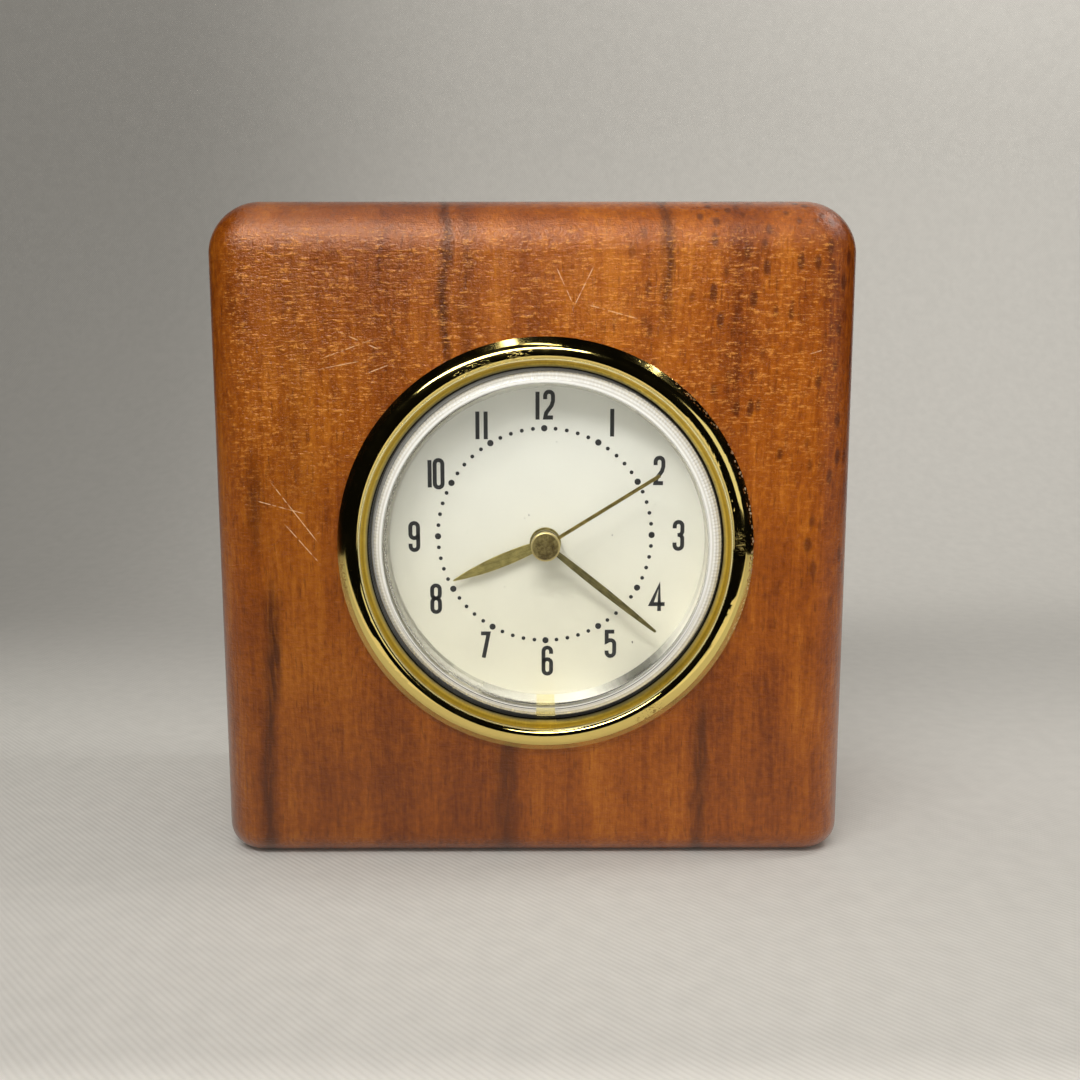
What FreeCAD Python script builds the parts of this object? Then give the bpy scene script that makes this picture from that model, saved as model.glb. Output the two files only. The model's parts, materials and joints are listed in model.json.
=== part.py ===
import FreeCAD, Part
import math
import os

os.makedirs("parts", exist_ok=True)
Vector = FreeCAD.Vector

# A wooden desk clock: a rounded block with a quartz insert in a blind bore of its front face.
# Millimetres. +Z is up, the clock faces -Y, and the origin is the centre of the block's base.
# The insert is drawn about its own axis at the block's front face, and then put in its place.
# There, x runs to the right, z runs up, and depth (y) runs into the block: depths in front
# of the wood are negative. Clock angles are in degrees, clockwise from 12 as the dial is seen.

# Block
block_width = 76.2
block_height = 78.8
block_depth = 38.1
top_edge_radius = 6.35
side_edge_radius = 5.0
foot_edge_radius = 3.2
bore_floor_gap = 1.6
insert_right = 1.5
insert_up = -1.1

# Fits that several pieces share
turning_gap = 0.05
pivot_gap = 0.03
seat_gap = 0.1
bore_play = 0.75
layer_gap = 0.2
cut_overrun = 1.0
full_turn = 360
half_turn = full_turn / 2

# Time shown, as clock angles
hour_angle = 247.5
minute_angle = 128.7
second_angle = 58.3

# Dial and hands, stacked from the dial towards the crystal
dial_depth = 5.4
dial_thickness = 0.4
hour_hand_gap = 0.8
hour_hub_radius = 1.9
hour_hub_height = 0.6
hour_hand_length = 12.2
hour_hand_root_width = 1.05
hour_hand_wide_width = 1.55
hour_hand_wide_at = 6.2
hour_hand_tip_width = 0.2
minute_hand_gap = 1.0
minute_hub_radius = 1.75
minute_hub_height = 0.6
minute_hand_length = 17.2
minute_hand_root_width = 0.55
minute_hand_wide_width = 0.88
minute_hand_wide_at = 8.6
minute_hand_tip_width = 0.34
second_hand_gap = 0.65
second_hub_radius = 1.45
second_hand_length = 15.9
second_hand_width = 0.42
hand_thickness = 0.2
hand_bevel = 0.05
cap_radius = 1.75
cap_gap = 0.15
cap_thickness = 0.8
cap_edge_radius = 0.2
cap_stem_radius = 0.8
cap_skin = 0.4

# Crystal: a clear cup with a rounded shoulder, whose foot stands on the dial
crystal_hand_gap = 0.3
crystal_thickness = 1.2
crystal_wall = 1.3
crystal_shoulder_radius = 1.6
crystal_inner_radius = 0.7
crystal_foot_height = 2.9
crystal_off_right = 0.24
crystal_off_up = 0.05
crystal_key_width = 2.2
crystal_key_reach = 0.12
crystal_key_angle = 180.5

# Bezel: a pressed ring with a low domed crest, an inner slope and a skirt round the case
rim_height = 0.7
flank_radius = 1.8
flank_angle = 42.0
flank_cone_width = 0.75
crest_inner_round = 0.75
inner_slope_width = 0.75
inner_slope_height = 1.55
lip_width = 0.5
lip_play = 0.35
foot_play = 0.3
skirt_thickness = 0.55
skirt_past_dial = 1.5
snap_height = 0.15
snap_length = 0.4

# Case: a moulded cup behind the dial, with a ledge for the movement and a pocket for the cell
plate_radius = 19.8
plate_play = 0.2
case_wall = 1.35
ledge_width = 0.6
floor_gap = 0.2
floor_thickness = 1.4
pocket_wall = 0.55
pocket_play = 0.15
pocket_gap_start_angle = 56.0
pocket_gap_end_angle = 118.0
pocket_boss_wall = 1.2
pocket_boss_height = 1.0

# Gasket: a soft band with fins that grip the bore
gasket_past_dial = 2.1
gasket_length = 9.0
gasket_band = 0.4
fin_count = 4
fin_root_width = 1.1
fin_tip_width = 0.3

# Button cell and its hatch
cell_radius = 5.8
cell_height = 5.4
cell_step_radius = 4.9
cell_step_height = 0.5
cell_distance = 12.5
cell_angle = 150.0
hatch_radius = 6.0
hatch_play = 0.1
hatch_lug_reach = 0.6
hatch_lug_height = 0.25
hatch_lug_span_angle = 26.0
hatch_turn_angle = 60.0
hatch_notch_span_angle = 32.0
hatch_first_lug_angle = 25.0
coin_slot_width = 1.3
coin_slot_depth = 0.6
coin_slot_length = 8.5

# Teeth, as shares of the module and of the pitch
addendum_share = 0.85
dedendum_share = 1.15
tooth_tip_share = 0.22
tooth_pitch_share = 0.40
tooth_root_share = 0.62

# Motion work between the dial and the front plate
motion_module = 0.25
cannon_teeth = 12
motion_wheel_teeth = 36
motion_pinion_teeth = 10
hour_wheel_teeth = 40
setting_pinion_teeth = 12
hour_wheel_gap = 0.3
hour_wheel_thickness = 0.5
motion_wheel_thickness = 0.7
pinion_margin = 0.05
pipe_wall = 0.4
cannon_radius = 1.05
cannon_bore_radius = 0.5
cannon_rear_radius = 0.9
cannon_collar_radius = 1.25
cannon_collar_height = 0.25
motion_stud_radius = 0.6
setting_distance = 10.5
setting_angle = 215.0
setting_arbor_radius = 0.8
knob_radius = 3.4
knob_thickness = 1.2
knob_flutes = 24
knob_flute_radius = 0.25
knob_slot_width = 0.9
knob_slot_depth = 0.4

# Front plate and train bridge
plate_gap = 0.3
plate_thickness = 1.2
bridge_gap = 0.4
bridge_thickness = 1.0
bridge_radius = 15.2
bridge_edge_gap = 0.4
pivot_depth = 0.7
bush_wall = 0.5
bush_overhang = 0.2
pillar_radius = 1.2
top_pillar_distance = 13.2
top_pillar_angle = 3.0
right_pillar_distance = 13.4
right_pillar_angle = 113.0
left_pillar_distance = 13.5
left_pillar_angle = 228.0
board_post_radius = 0.9
upper_post_distance = 17.0
upper_post_angle = 28.0
lower_post_distance = 17.2
lower_post_angle = 92.0
board_pin_radius = 0.45
board_pin_height = 0.6
screw_radius = 0.5
screw_length = 3.6
screw_head_radius = 1.05
screw_head_height = 0.6
screw_slot_width = 0.28
screw_slot_depth = 0.25

# Train from the rotor to the centre wheel
second_module = 0.26
rotor_module = 0.25
third_module = 0.27
rotor_pinion_teeth = 10
intermediate_teeth = 50
intermediate_pinion_teeth = 10
second_teeth = 60
second_pinion_teeth = 8
third_teeth = 60
third_pinion_teeth = 8
centre_teeth = 64
third_angle = 60.0
intermediate_angle = 320.0
rotor_angle = 217.3
wheel_thickness = 0.4
wheel_hub_radius = 1.15
train_gap = 0.35
layer_step = 0.95
arbor_radius = 0.35
second_arbor_radius = 0.42
rotor_arbor_radius = 0.3
window_count = 5
window_radius = 1.3
window_ring_share = 0.58

# Stepping motor
magnet_radius = 1.5
magnet_length = 1.4
magnet_gap = 0.6
magnet_hub_radius = 0.5
stator_inset = 0.3
stator_thickness = 0.6
stator_air_gap = 0.4
stator_ring_width = 1.0
stator_arm_width = 2.2
saturation_notch_radius = 0.35
core_width = 1.6
core_thickness = 0.6
coil_offset = 5.4
coil_half_span = 7.0
bobbin_half_length = 5.5
bobbin_flange_radius = 2.1
bobbin_flange_thickness = 0.5
bobbin_tube_radius = 1.15
core_play = 0.04
winding_radius = 1.85
motor_post_radius = 1.05

# Circuit board and contacts
board_gap = 0.2
board_thickness = 0.8
board_inner_radius = 10.4
board_outer_radius = 19.1
board_start_angle = 12.0
board_end_angle = 99.0
chip_radius = 2.2
chip_height = 1.1
chip_distance = 14.6
chip_angle = 66.0
can_radius = 1.0
can_length = 6.0
can_distance = 13.4
can_angle = 38.0
can_lead_radius = 0.2
can_lead_length = 1.1
contact_thickness = 0.25
plus_contact_width = 2.0
minus_contact_width = 1.6
minus_pad_radius = 1.5
contact_gap = 0.05
plus_foot_distance = 17.9
plus_foot_angle = 97.5
plus_bend_distance = 17.6
plus_bend_angle = 110.0
minus_foot_distance = 11.6
minus_foot_angle = 93.0
plus_foot_radius = 0.8

# Depths of the front half, worked out from the dial forwards
hour_hub_back = dial_depth - hour_hand_gap
hour_hub_front = hour_hub_back - hour_hub_height
minute_hub_back = hour_hub_front - minute_hand_gap
minute_hub_front = minute_hub_back - minute_hub_height
second_hand_back = minute_hub_front - second_hand_gap
second_hand_front = second_hand_back - hand_thickness
cap_back = second_hand_front - cap_gap
cap_front = cap_back - cap_thickness
crystal_back = cap_front - crystal_hand_gap
crystal_front = crystal_back - crystal_thickness
dial_back = dial_depth + dial_thickness

# Depths of the rear half, worked out from the dial backwards
hour_wheel_front = dial_back + hour_wheel_gap
hour_wheel_back = hour_wheel_front + hour_wheel_thickness
cannon_teeth_front = hour_wheel_back + layer_gap
motion_wheel_front = cannon_teeth_front + pinion_margin
motion_wheel_back = motion_wheel_front + motion_wheel_thickness
cannon_teeth_back = motion_wheel_back + pinion_margin
plate_front = cannon_teeth_back + plate_gap
plate_back = plate_front + plate_thickness
centre_wheel_front = plate_back + train_gap
third_wheel_front = centre_wheel_front + wheel_thickness + layer_step
second_wheel_front = third_wheel_front + wheel_thickness + layer_step
board_front = second_wheel_front + wheel_thickness + board_gap
board_back = board_front + board_thickness
intermediate_front = second_wheel_front + wheel_thickness + layer_step
magnet_front = intermediate_front + wheel_thickness + magnet_gap
magnet_back = magnet_front + magnet_length
stator_front = magnet_front + stator_inset
stator_back = stator_front + stator_thickness
core_back = stator_back + core_thickness
bridge_front = magnet_back + bridge_gap
bridge_back = bridge_front + bridge_thickness
minus_contact_back = board_back + contact_thickness
cell_front = minus_contact_back + contact_gap
cell_back = cell_front + cell_height
floor_front = cell_back + floor_gap
floor_back = floor_front + floor_thickness
knob_front = floor_back + layer_gap
knob_back = knob_front + knob_thickness
bore_depth = knob_back + bore_floor_gap
skirt_depth = dial_depth + skirt_past_dial
gasket_front = dial_depth + gasket_past_dial

# Radii that follow from one another, from the front plate outwards
case_inner_radius = plate_radius + plate_play
case_outer_radius = case_inner_radius + case_wall
case_rear_radius = case_inner_radius - ledge_width
skirt_inner_radius = case_outer_radius + seat_gap
skirt_outer_radius = skirt_inner_radius + skirt_thickness
bore_radius = skirt_outer_radius + bore_play
lip_radius = skirt_inner_radius - lip_width
crest_radius = lip_radius + inner_slope_width + crest_inner_round
flank_turn = math.radians(flank_angle)
flank_end_radius = crest_radius + flank_radius * math.sin(flank_turn)
flange_radius = flank_end_radius + flank_cone_width
flank_end_depth = -rim_height - flank_cone_width * math.tan(flank_turn)
crest_front = flank_end_depth - flank_radius * (1 - math.cos(flank_turn))
crystal_radius = lip_radius - lip_play
crystal_foot_radius = skirt_inner_radius - foot_play
crystal_bore_radius = crystal_radius - crystal_wall
dial_radius = skirt_inner_radius - foot_play
bush_bore_radius = cannon_radius + turning_gap
bush_radius = bush_bore_radius + bush_wall
bush_back = plate_back + bush_overhang
pipe_bore_radius = cannon_radius + turning_gap
pipe_radius = pipe_bore_radius + pipe_wall
dial_hole_radius = pipe_radius + layer_gap

# Modules that make each pair fit the distance of the pair beside it
hour_module = motion_module * (cannon_teeth + motion_wheel_teeth) / (motion_pinion_teeth + hour_wheel_teeth)
centre_module = third_module * (second_pinion_teeth + third_teeth) / (third_pinion_teeth + centre_teeth)


def polar(radius, angle):
    """Return x and z of a point at a clock angle."""
    turn = math.radians(angle)
    return radius * math.sin(turn), radius * math.cos(turn)


def from_point(start, radius, angle):
    """Return x and z of a point at a clock angle about another point."""
    x, z = polar(radius, angle)
    return start[0] + x, start[1] + z


def pair_distance(teeth, mate_teeth, module):
    """Return the distance between the centres of two gears in mesh."""
    return (teeth + mate_teeth) * module / 2


# Places of the axes in the movement
centre_axis = (0, 0)
motion_distance = pair_distance(cannon_teeth, motion_wheel_teeth, motion_module)
motion_spread = math.degrees(math.acos(setting_distance / 2 / motion_distance))
motion_angle = setting_angle - motion_spread
motion_axis = polar(motion_distance, motion_angle)
setting_axis = polar(setting_distance, setting_angle)
setting_direction = 2 * setting_angle - motion_angle
third_axis = polar(pair_distance(second_pinion_teeth, third_teeth, third_module), third_angle)
intermediate_distance = pair_distance(intermediate_pinion_teeth, second_teeth, second_module)
intermediate_axis = polar(intermediate_distance, intermediate_angle)
rotor_distance = pair_distance(rotor_pinion_teeth, intermediate_teeth, rotor_module)
rotor_axis = from_point(intermediate_axis, rotor_distance, rotor_angle)
coil_x = rotor_axis[0] - coil_offset
coil_ends = ((coil_x, rotor_axis[1] + coil_half_span), (coil_x, rotor_axis[1] - coil_half_span))
cell_axis = polar(cell_distance, cell_angle)
pillars = (
    polar(top_pillar_distance, top_pillar_angle),
    polar(right_pillar_distance, right_pillar_angle),
    polar(left_pillar_distance, left_pillar_angle),
)
board_posts = (
    polar(upper_post_distance, upper_post_angle),
    polar(lower_post_distance, lower_post_angle),
)


def disc(place, radius, near, far):
    """Return a round bar along the depth, between two depths."""
    return Part.makeCylinder(radius, far - near, Vector(place[0], near, place[1]), Vector(0, 1, 0))


def hole(place, radius, near, far):
    """Return what a drill takes out between two depths, with a little more at both ends."""
    return disc(place, radius, near - cut_overrun, far + cut_overrun)


def ring(place, outer, inner, near, far):
    """Return a round bar with a round hole through it."""
    return disc(place, outer, near, far).cut(hole(place, inner, near, far))


def slab(corners, near, far):
    """Return a plate with a straight-sided outline of x and z corners."""
    points = [Vector(x, near, z) for x, z in corners]
    face = Part.Face(Part.makePolygon(points + points[:1]))
    return face.extrude(Vector(0, far - near, 0))


def box(left, right, near, far, low, high):
    """Return a box given by its sides, depths and heights."""
    return Part.makeBox(right - left, far - near, high - low, Vector(left, near, low))


def turned(edges):
    """Return the solid that a closed outline of radius and depth sweeps about the insert's axis."""
    face = Part.Face(Part.Wire(edges))
    return face.revolve(Vector(0, 0, 0), Vector(0, 1, 0), full_turn)


def line(start, end):
    """Return a straight edge between two points of radius and depth."""
    return Part.makeLine(Vector(start[0], start[1], 0), Vector(end[0], end[1], 0))


def path(points):
    """Return straight edges through points of radius and depth."""
    return [line(start, end) for start, end in zip(points, points[1:])]


def arc(centre, radius, start_angle, end_angle):
    """Return a round edge about a point, with angles counted from the radius towards the depth."""
    circle = Part.Circle(Vector(centre[0], centre[1], 0), Vector(0, 0, 1), radius)
    return circle.toShape(math.radians(start_angle), math.radians(end_angle))


def gear(place, teeth, module, phase, near, far):
    """Return a toothed disc with the middle of one tooth at a clock angle."""
    pitch_radius = teeth * module / 2
    tip_radius = pitch_radius + addendum_share * module
    root_radius = pitch_radius - dedendum_share * module
    half_pitch = half_turn / teeth
    flanks = (
        (root_radius, -tooth_root_share),
        (pitch_radius, -tooth_pitch_share),
        (tip_radius, -tooth_tip_share),
        (tip_radius, tooth_tip_share),
        (pitch_radius, tooth_pitch_share),
        (root_radius, tooth_root_share),
    )
    corners = []
    for tooth in range(teeth):
        middle = phase + 2 * half_pitch * tooth
        for radius, width_share in flanks:
            corners.append(from_point(place, radius, middle + width_share * half_pitch))
    return slab(corners, near, far)


def facing_phase(teeth, direction):
    """Return the phase that puts a gap, not a tooth, opposite a direction."""
    return direction + half_turn + half_turn / teeth


def windows(place, teeth, module, near, far):
    """Return the round lightening holes of a wheel."""
    ring_radius = window_ring_share * teeth * module / 2
    holes = []
    for count in range(window_count):
        middle = from_point(place, ring_radius, count * full_turn / window_count)
        holes.append(hole(middle, window_radius, near, far))
    return holes


def joined(shapes):
    """Return touching shapes as one solid without inner seams."""
    return shapes[0].fuse(shapes[1:]).removeSplitter()


def save(node, shape):
    """Move a shape of the insert to its place in the block and write it."""
    placed = shape.copy()
    placed.translate(Vector(insert_right, -block_depth / 2, block_height / 2 + insert_up))
    placed.exportStep("parts/" + node + ".step")


def make_wood_block():
    """The block stands on its base, its edges rounded most at the top and least at the foot."""
    corner = Vector(-block_width / 2, -block_depth / 2, 0)
    block = Part.makeBox(block_width, block_depth, block_height, corner)
    side_edges = [edge for edge in block.Edges if edge.BoundBox.ZLength > block_height / 2]
    block = block.makeFillet(side_edge_radius, side_edges)
    top_edges = [edge for edge in block.Edges if edge.BoundBox.ZMin > block_height / 2]
    block = block.makeFillet(top_edge_radius, top_edges)
    foot_edges = [edge for edge in block.Edges if edge.BoundBox.ZMax < block_height / 2]
    block = block.makeFillet(foot_edge_radius, foot_edges)
    bore = disc(centre_axis, bore_radius, -cut_overrun, bore_depth)
    bore.translate(Vector(insert_right, -block_depth / 2, block_height / 2 + insert_up))
    block.cut(bore).exportStep("parts/wood_block.step")


def make_bezel():
    """A domed flank runs from the crest to a low rim, and a slope runs in to the lip."""
    flank_centre = (crest_radius, crest_front + flank_radius)
    flank = arc(flank_centre, flank_radius, 270, 270 + flank_angle)
    round_centre = (crest_radius, crest_front + crest_inner_round)
    inner = arc(round_centre, crest_inner_round, 180, 270)
    round_end = (crest_radius - crest_inner_round, round_centre[1])
    lip_front = round_end[1] + inner_slope_height
    lip_back = dial_depth - crystal_foot_height - seat_gap
    snap_radius = skirt_inner_radius - snap_height
    points = [
        round_end,
        (lip_radius, lip_front),
        (lip_radius, lip_back),
        (skirt_inner_radius, lip_back),
        (skirt_inner_radius, skirt_depth - snap_length),
        (snap_radius, skirt_depth - snap_length / 2),
        (skirt_inner_radius, skirt_depth),
        (skirt_outer_radius, skirt_depth),
        (skirt_outer_radius, 0),
        (flange_radius, 0),
        (flange_radius, -rim_height),
        (flank_end_radius, flank_end_depth),
    ]
    save("bezel", turned([flank, inner] + path(points)))


def make_crystal():
    """A cup: flat window, rounded shoulder, wall with a key, and a foot that the bezel holds."""
    shoulder = (crystal_radius - crystal_shoulder_radius, crystal_front + crystal_shoulder_radius)
    inside = (crystal_bore_radius - crystal_inner_radius, crystal_back + crystal_inner_radius)
    foot_front = dial_depth - crystal_foot_height
    edges = [line((0, crystal_front), (shoulder[0], crystal_front))]
    edges.append(arc(shoulder, crystal_shoulder_radius, 270, 360))
    edges += path([
        (crystal_radius, shoulder[1]),
        (crystal_radius, foot_front),
        (crystal_foot_radius, foot_front),
        (crystal_foot_radius, dial_depth),
        (crystal_bore_radius, dial_depth),
        (crystal_bore_radius, inside[1]),
    ])
    edges.append(arc(inside, crystal_inner_radius, 270, 360))
    edges += path([(inside[0], crystal_back), (0, crystal_back), (0, crystal_front)])
    cup = turned(edges)
    half = crystal_key_width / 2
    key = box(-half, half, shoulder[1], foot_front, crystal_bore_radius, crystal_radius + crystal_key_reach)
    key.rotate(Vector(0, 0, 0), Vector(0, 1, 0), crystal_key_angle)
    cup = joined([cup, key])
    cup.translate(Vector(crystal_off_right, 0, crystal_off_up))
    save("crystal", cup)


def make_dial():
    """A thin disc with a hole for the hour wheel's pipe."""
    save("dial", ring(centre_axis, dial_radius, dial_hole_radius, dial_depth, dial_back))


def blade(width_points, length, tip_width, front):
    """Return a hand's flat blade that points to 12, with curved sides and bevelled front edges."""
    (root_width, root_at), (wide_width, wide_at) = width_points
    tip_start = length - tip_width / 2
    back = front + hand_thickness
    sides = []
    for side in (-1, 1):
        root = Vector(side * root_width / 2, back, root_at)
        wide = Vector(side * wide_width / 2, back, wide_at)
        tip = Vector(side * tip_width / 2, back, tip_start)
        sides.append((root, wide, tip))
    left, right = sides
    tip_arc = Part.Arc(left[2], Vector(0, back, length), right[2]).toShape()
    edges = [
        Part.Arc(left[0], left[1], left[2]).toShape(),
        tip_arc,
        Part.Arc(right[2], right[1], right[0]).toShape(),
        Part.makeLine(right[0], left[0]),
    ]
    plate = Part.Face(Part.Wire(edges)).extrude(Vector(0, front - back, 0))
    rims = []
    for edge in plate.Edges:
        lies_in_front = max(abs(edge.BoundBox.YMin - front), abs(edge.BoundBox.YMax - front)) < hand_bevel
        if lies_in_front and edge.Length > wide_at:
            rims.append(edge)
    return plate.makeChamfer(hand_bevel, rims)


def make_hour_hand():
    """A leaf-shaped blade on a hub that is pressed on the hour wheel's pipe."""
    hub = disc(centre_axis, hour_hub_radius, hour_hub_front, hour_hub_back)
    widths = ((hour_hand_root_width, pipe_radius / 2), (hour_hand_wide_width, hour_hand_wide_at))
    leaf = blade(widths, hour_hand_length, hour_hand_tip_width, hour_hub_back - hand_thickness)
    hand = joined([hub, leaf]).cut(hole(centre_axis, pipe_radius, hour_hub_front, hour_hub_back))
    hand.rotate(Vector(0, 0, 0), Vector(0, 1, 0), hour_angle)
    save("hour_hand", hand)


def make_minute_hand():
    """A slim tapered blade on a hub that is pressed on the cannon pinion."""
    hub = disc(centre_axis, minute_hub_radius, minute_hub_front, minute_hub_back)
    widths = ((minute_hand_root_width, cannon_radius / 2), (minute_hand_wide_width, minute_hand_wide_at))
    taper = blade(widths, minute_hand_length, minute_hand_tip_width, minute_hub_back - hand_thickness)
    hand = joined([hub, taper]).cut(hole(centre_axis, cannon_radius, minute_hub_front, minute_hub_back))
    hand.rotate(Vector(0, 0, 0), Vector(0, 1, 0), minute_angle)
    save("minute_hand", hand)


def make_second_hand():
    """A thin straight blade with a round eye, held on the stem of its cap."""
    half = second_hand_width / 2
    strip = box(-half, half, second_hand_front, second_hand_back, 0, second_hand_length)
    eye = disc(centre_axis, second_hub_radius, second_hand_front, second_hand_back)
    hand = joined([eye, strip]).cut(hole(centre_axis, cap_stem_radius, second_hand_front, second_hand_back))
    hand.rotate(Vector(0, 0, 0), Vector(0, 1, 0), second_angle)
    save("second_hand", hand)


def make_second_hand_cap():
    """A round cap with a hollow stem that the second arbor is pressed into."""
    cap = disc(centre_axis, cap_radius, cap_front, cap_back)
    front_rim = [edge for edge in cap.Edges if abs(edge.BoundBox.YMax - cap_front) < cap_edge_radius]
    cap = cap.makeFillet(cap_edge_radius, front_rim)
    stem = disc(centre_axis, cap_stem_radius, cap_back, second_hand_back + cap_gap)
    stem_back = second_hand_back + cut_overrun
    arbor_room = disc(centre_axis, second_arbor_radius, cap_front + cap_skin, stem_back)
    save("second_hand_cap", joined([cap, stem]).cut(arbor_room))


def sector_wall(place, outer, inner, near, far, start, end):
    """Return a curved wall between two radii from one clock angle to another."""
    reach = outer + cut_overrun
    whole = ring(place, outer, inner, near, far)
    middle = from_point(place, 2 * reach, (start + end) / 2)
    corners = [place, from_point(place, 2 * reach, start), middle, from_point(place, 2 * reach, end)]
    return whole.common(slab(corners, near - cut_overrun, far + cut_overrun))


def hatch_lug(radius, arc_length, near, far, middle):
    """Return a round-ended wedge of the hatch that reaches out past its rim."""
    return sector_wall(
        cell_axis, radius, hatch_radius / 2, near, far,
        middle - arc_length / 2, middle + arc_length / 2,
    )


def make_rear_case():
    """A cup with a ledge, a hole for the setting arbor, and a pocket and hatch hole for the cell."""
    groove_middle = skirt_depth - snap_length / 2
    groove_radius = case_outer_radius - snap_height
    points = [
        (0, floor_back),
        (case_outer_radius, floor_back),
        (case_outer_radius, groove_middle + snap_length),
        (groove_radius, groove_middle),
        (case_outer_radius, groove_middle - snap_length),
        (case_outer_radius, dial_back),
        (case_inner_radius, dial_back),
        (case_inner_radius, plate_back),
        (case_rear_radius, plate_back),
        (case_rear_radius, floor_front),
        (0, floor_front),
        (0, floor_back),
    ]
    cup = turned(path(points))
    pocket_inner = cell_radius + pocket_play
    pocket_outer = pocket_inner + pocket_wall
    boss_front = cell_back - pocket_boss_height
    opening = hatch_radius + hatch_play
    boss = ring(cell_axis, opening + pocket_boss_wall, pocket_inner, boss_front, floor_front)
    wall = sector_wall(
        cell_axis, pocket_outer, pocket_inner, cell_front, floor_front,
        pocket_gap_end_angle, pocket_gap_start_angle + full_turn,
    )
    room = disc(centre_axis, case_rear_radius + case_wall / 2, cell_front, floor_front)
    cup = joined([cup, boss.common(room), wall.common(room)])
    lug_radius = hatch_radius + hatch_lug_reach + hatch_play
    lug_back = cell_back + contact_gap + hatch_lug_height + hatch_play
    cup = cup.cut(disc(cell_axis, opening, cell_back, floor_back + cut_overrun))
    cup = cup.cut(disc(cell_axis, lug_radius, cell_back - hatch_play, lug_back))
    notch_back = floor_back + cut_overrun
    for side in (0, half_turn):
        middle = hatch_first_lug_angle + hatch_turn_angle + side
        cup = cup.cut(hatch_lug(lug_radius, hatch_notch_span_angle, cell_back, notch_back, middle))
    arbor_hole_radius = setting_arbor_radius + turning_gap
    save("rear_case", cup.cut(hole(setting_axis, arbor_hole_radius, floor_front, floor_back)))


def make_retaining_gasket():
    """A band round the case with tapered fins that reach the wall of the bore."""
    inner = case_outer_radius + turning_gap
    band = inner + gasket_band
    fin_tip = bore_radius - turning_gap
    pitch = gasket_length / fin_count
    points = [(inner, gasket_front), (band, gasket_front)]
    for count in range(fin_count):
        middle = gasket_front + (count + 0.5) * pitch
        points.append((band, middle - fin_root_width / 2))
        points.append((fin_tip, middle - fin_tip_width / 2))
        points.append((fin_tip, middle + fin_tip_width / 2))
        points.append((band, middle + fin_root_width / 2))
    points += [(band, gasket_front + gasket_length), (inner, gasket_front + gasket_length), points[0]]
    save("retaining_gasket", turned(path(points)))


def front_pivot_hole(place, radius):
    """Return the blind hole that a pivot turns in, in the back of the front plate."""
    return disc(place, radius + pivot_gap, plate_back - pivot_depth, plate_back + cut_overrun)


def rear_pivot_hole(place, radius):
    """Return the blind hole that a pivot turns in, in the front of the bridge."""
    return disc(place, radius + pivot_gap, bridge_front - cut_overrun, bridge_front + pivot_depth)


def make_front_plate():
    """A round plate that carries the motion work in front and the train, board and motor behind."""
    pieces = [disc(centre_axis, plate_radius, plate_front, plate_back)]
    pieces.append(disc(motion_axis, motion_stud_radius, hour_wheel_front, plate_front))
    for place in pillars:
        pieces.append(disc(place, pillar_radius, plate_back, bridge_front))
    for place in board_posts:
        pieces.append(disc(place, board_post_radius, plate_back, board_front))
        pieces.append(disc(place, board_pin_radius, board_front, board_back + board_pin_height))
    for place in coil_ends:
        pieces.append(disc(place, motor_post_radius, plate_back, stator_front))
    plate = joined(pieces)
    cuts = [
        hole(centre_axis, bush_radius, plate_front, plate_back),
        hole(setting_axis, setting_arbor_radius + turning_gap, plate_front, plate_back),
        front_pivot_hole(third_axis, arbor_radius),
        front_pivot_hole(intermediate_axis, arbor_radius),
        front_pivot_hole(rotor_axis, rotor_arbor_radius),
    ]
    for place in pillars:
        cuts.append(disc(place, screw_radius, bridge_back - screw_length, bridge_front + cut_overrun))
    for place in coil_ends:
        cuts.append(disc(place, screw_radius, core_back - screw_length, stator_front + cut_overrun))
    save("front_plate", plate.cut(cuts))


def make_centre_bush():
    """A brass bush in the front plate that the cannon pinion turns in."""
    save("centre_bush", ring(centre_axis, bush_radius, bush_bore_radius, plate_front, bush_back))


def make_train_bridge():
    """A plate on the pillars, cut away for the cell, the coil and the setting arbor."""
    bridge = disc(centre_axis, bridge_radius, bridge_front, bridge_back)
    near = bridge_front - cut_overrun
    far = bridge_back + cut_overrun
    cell_room = cell_radius + pocket_play + pocket_wall + layer_gap
    coil_side = coil_x + bobbin_flange_radius + bridge_edge_gap
    cuts = [
        hole(cell_axis, cell_room, bridge_front, bridge_back),
        box(-2 * bridge_radius, coil_side, near, far, -bridge_radius, bridge_radius),
        hole(setting_axis, setting_arbor_radius + bridge_edge_gap, bridge_front, bridge_back),
        rear_pivot_hole(centre_axis, second_arbor_radius),
        rear_pivot_hole(third_axis, arbor_radius),
        rear_pivot_hole(intermediate_axis, arbor_radius),
        rear_pivot_hole(rotor_axis, rotor_arbor_radius),
    ]
    for place in pillars:
        cuts.append(hole(place, screw_radius, bridge_front, bridge_back))
    save("train_bridge", bridge.cut(cuts))


def screw(place, seat):
    """Return a slotted screw that goes forwards from the depth of its seat."""
    head = disc(place, screw_head_radius, seat, seat + screw_head_height)
    shank = disc(place, screw_radius, seat - screw_length, seat)
    half = screw_slot_width / 2
    slot_front = seat + screw_head_height - screw_slot_depth
    slot = box(
        place[0] - half, place[0] + half,
        slot_front, seat + screw_head_height + cut_overrun,
        place[1] - 2 * screw_head_radius, place[1] + 2 * screw_head_radius,
    )
    return joined([head, shank]).cut(slot)


def make_screws():
    """Three screws hold the bridge, and two hold the coil core and the stator."""
    bridge_screws = [screw(place, bridge_back) for place in pillars]
    save("bridge_screws", Part.makeCompound(bridge_screws))
    motor_screws = [screw(place, core_back) for place in coil_ends]
    save("motor_screws", Part.makeCompound(motor_screws))


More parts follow.
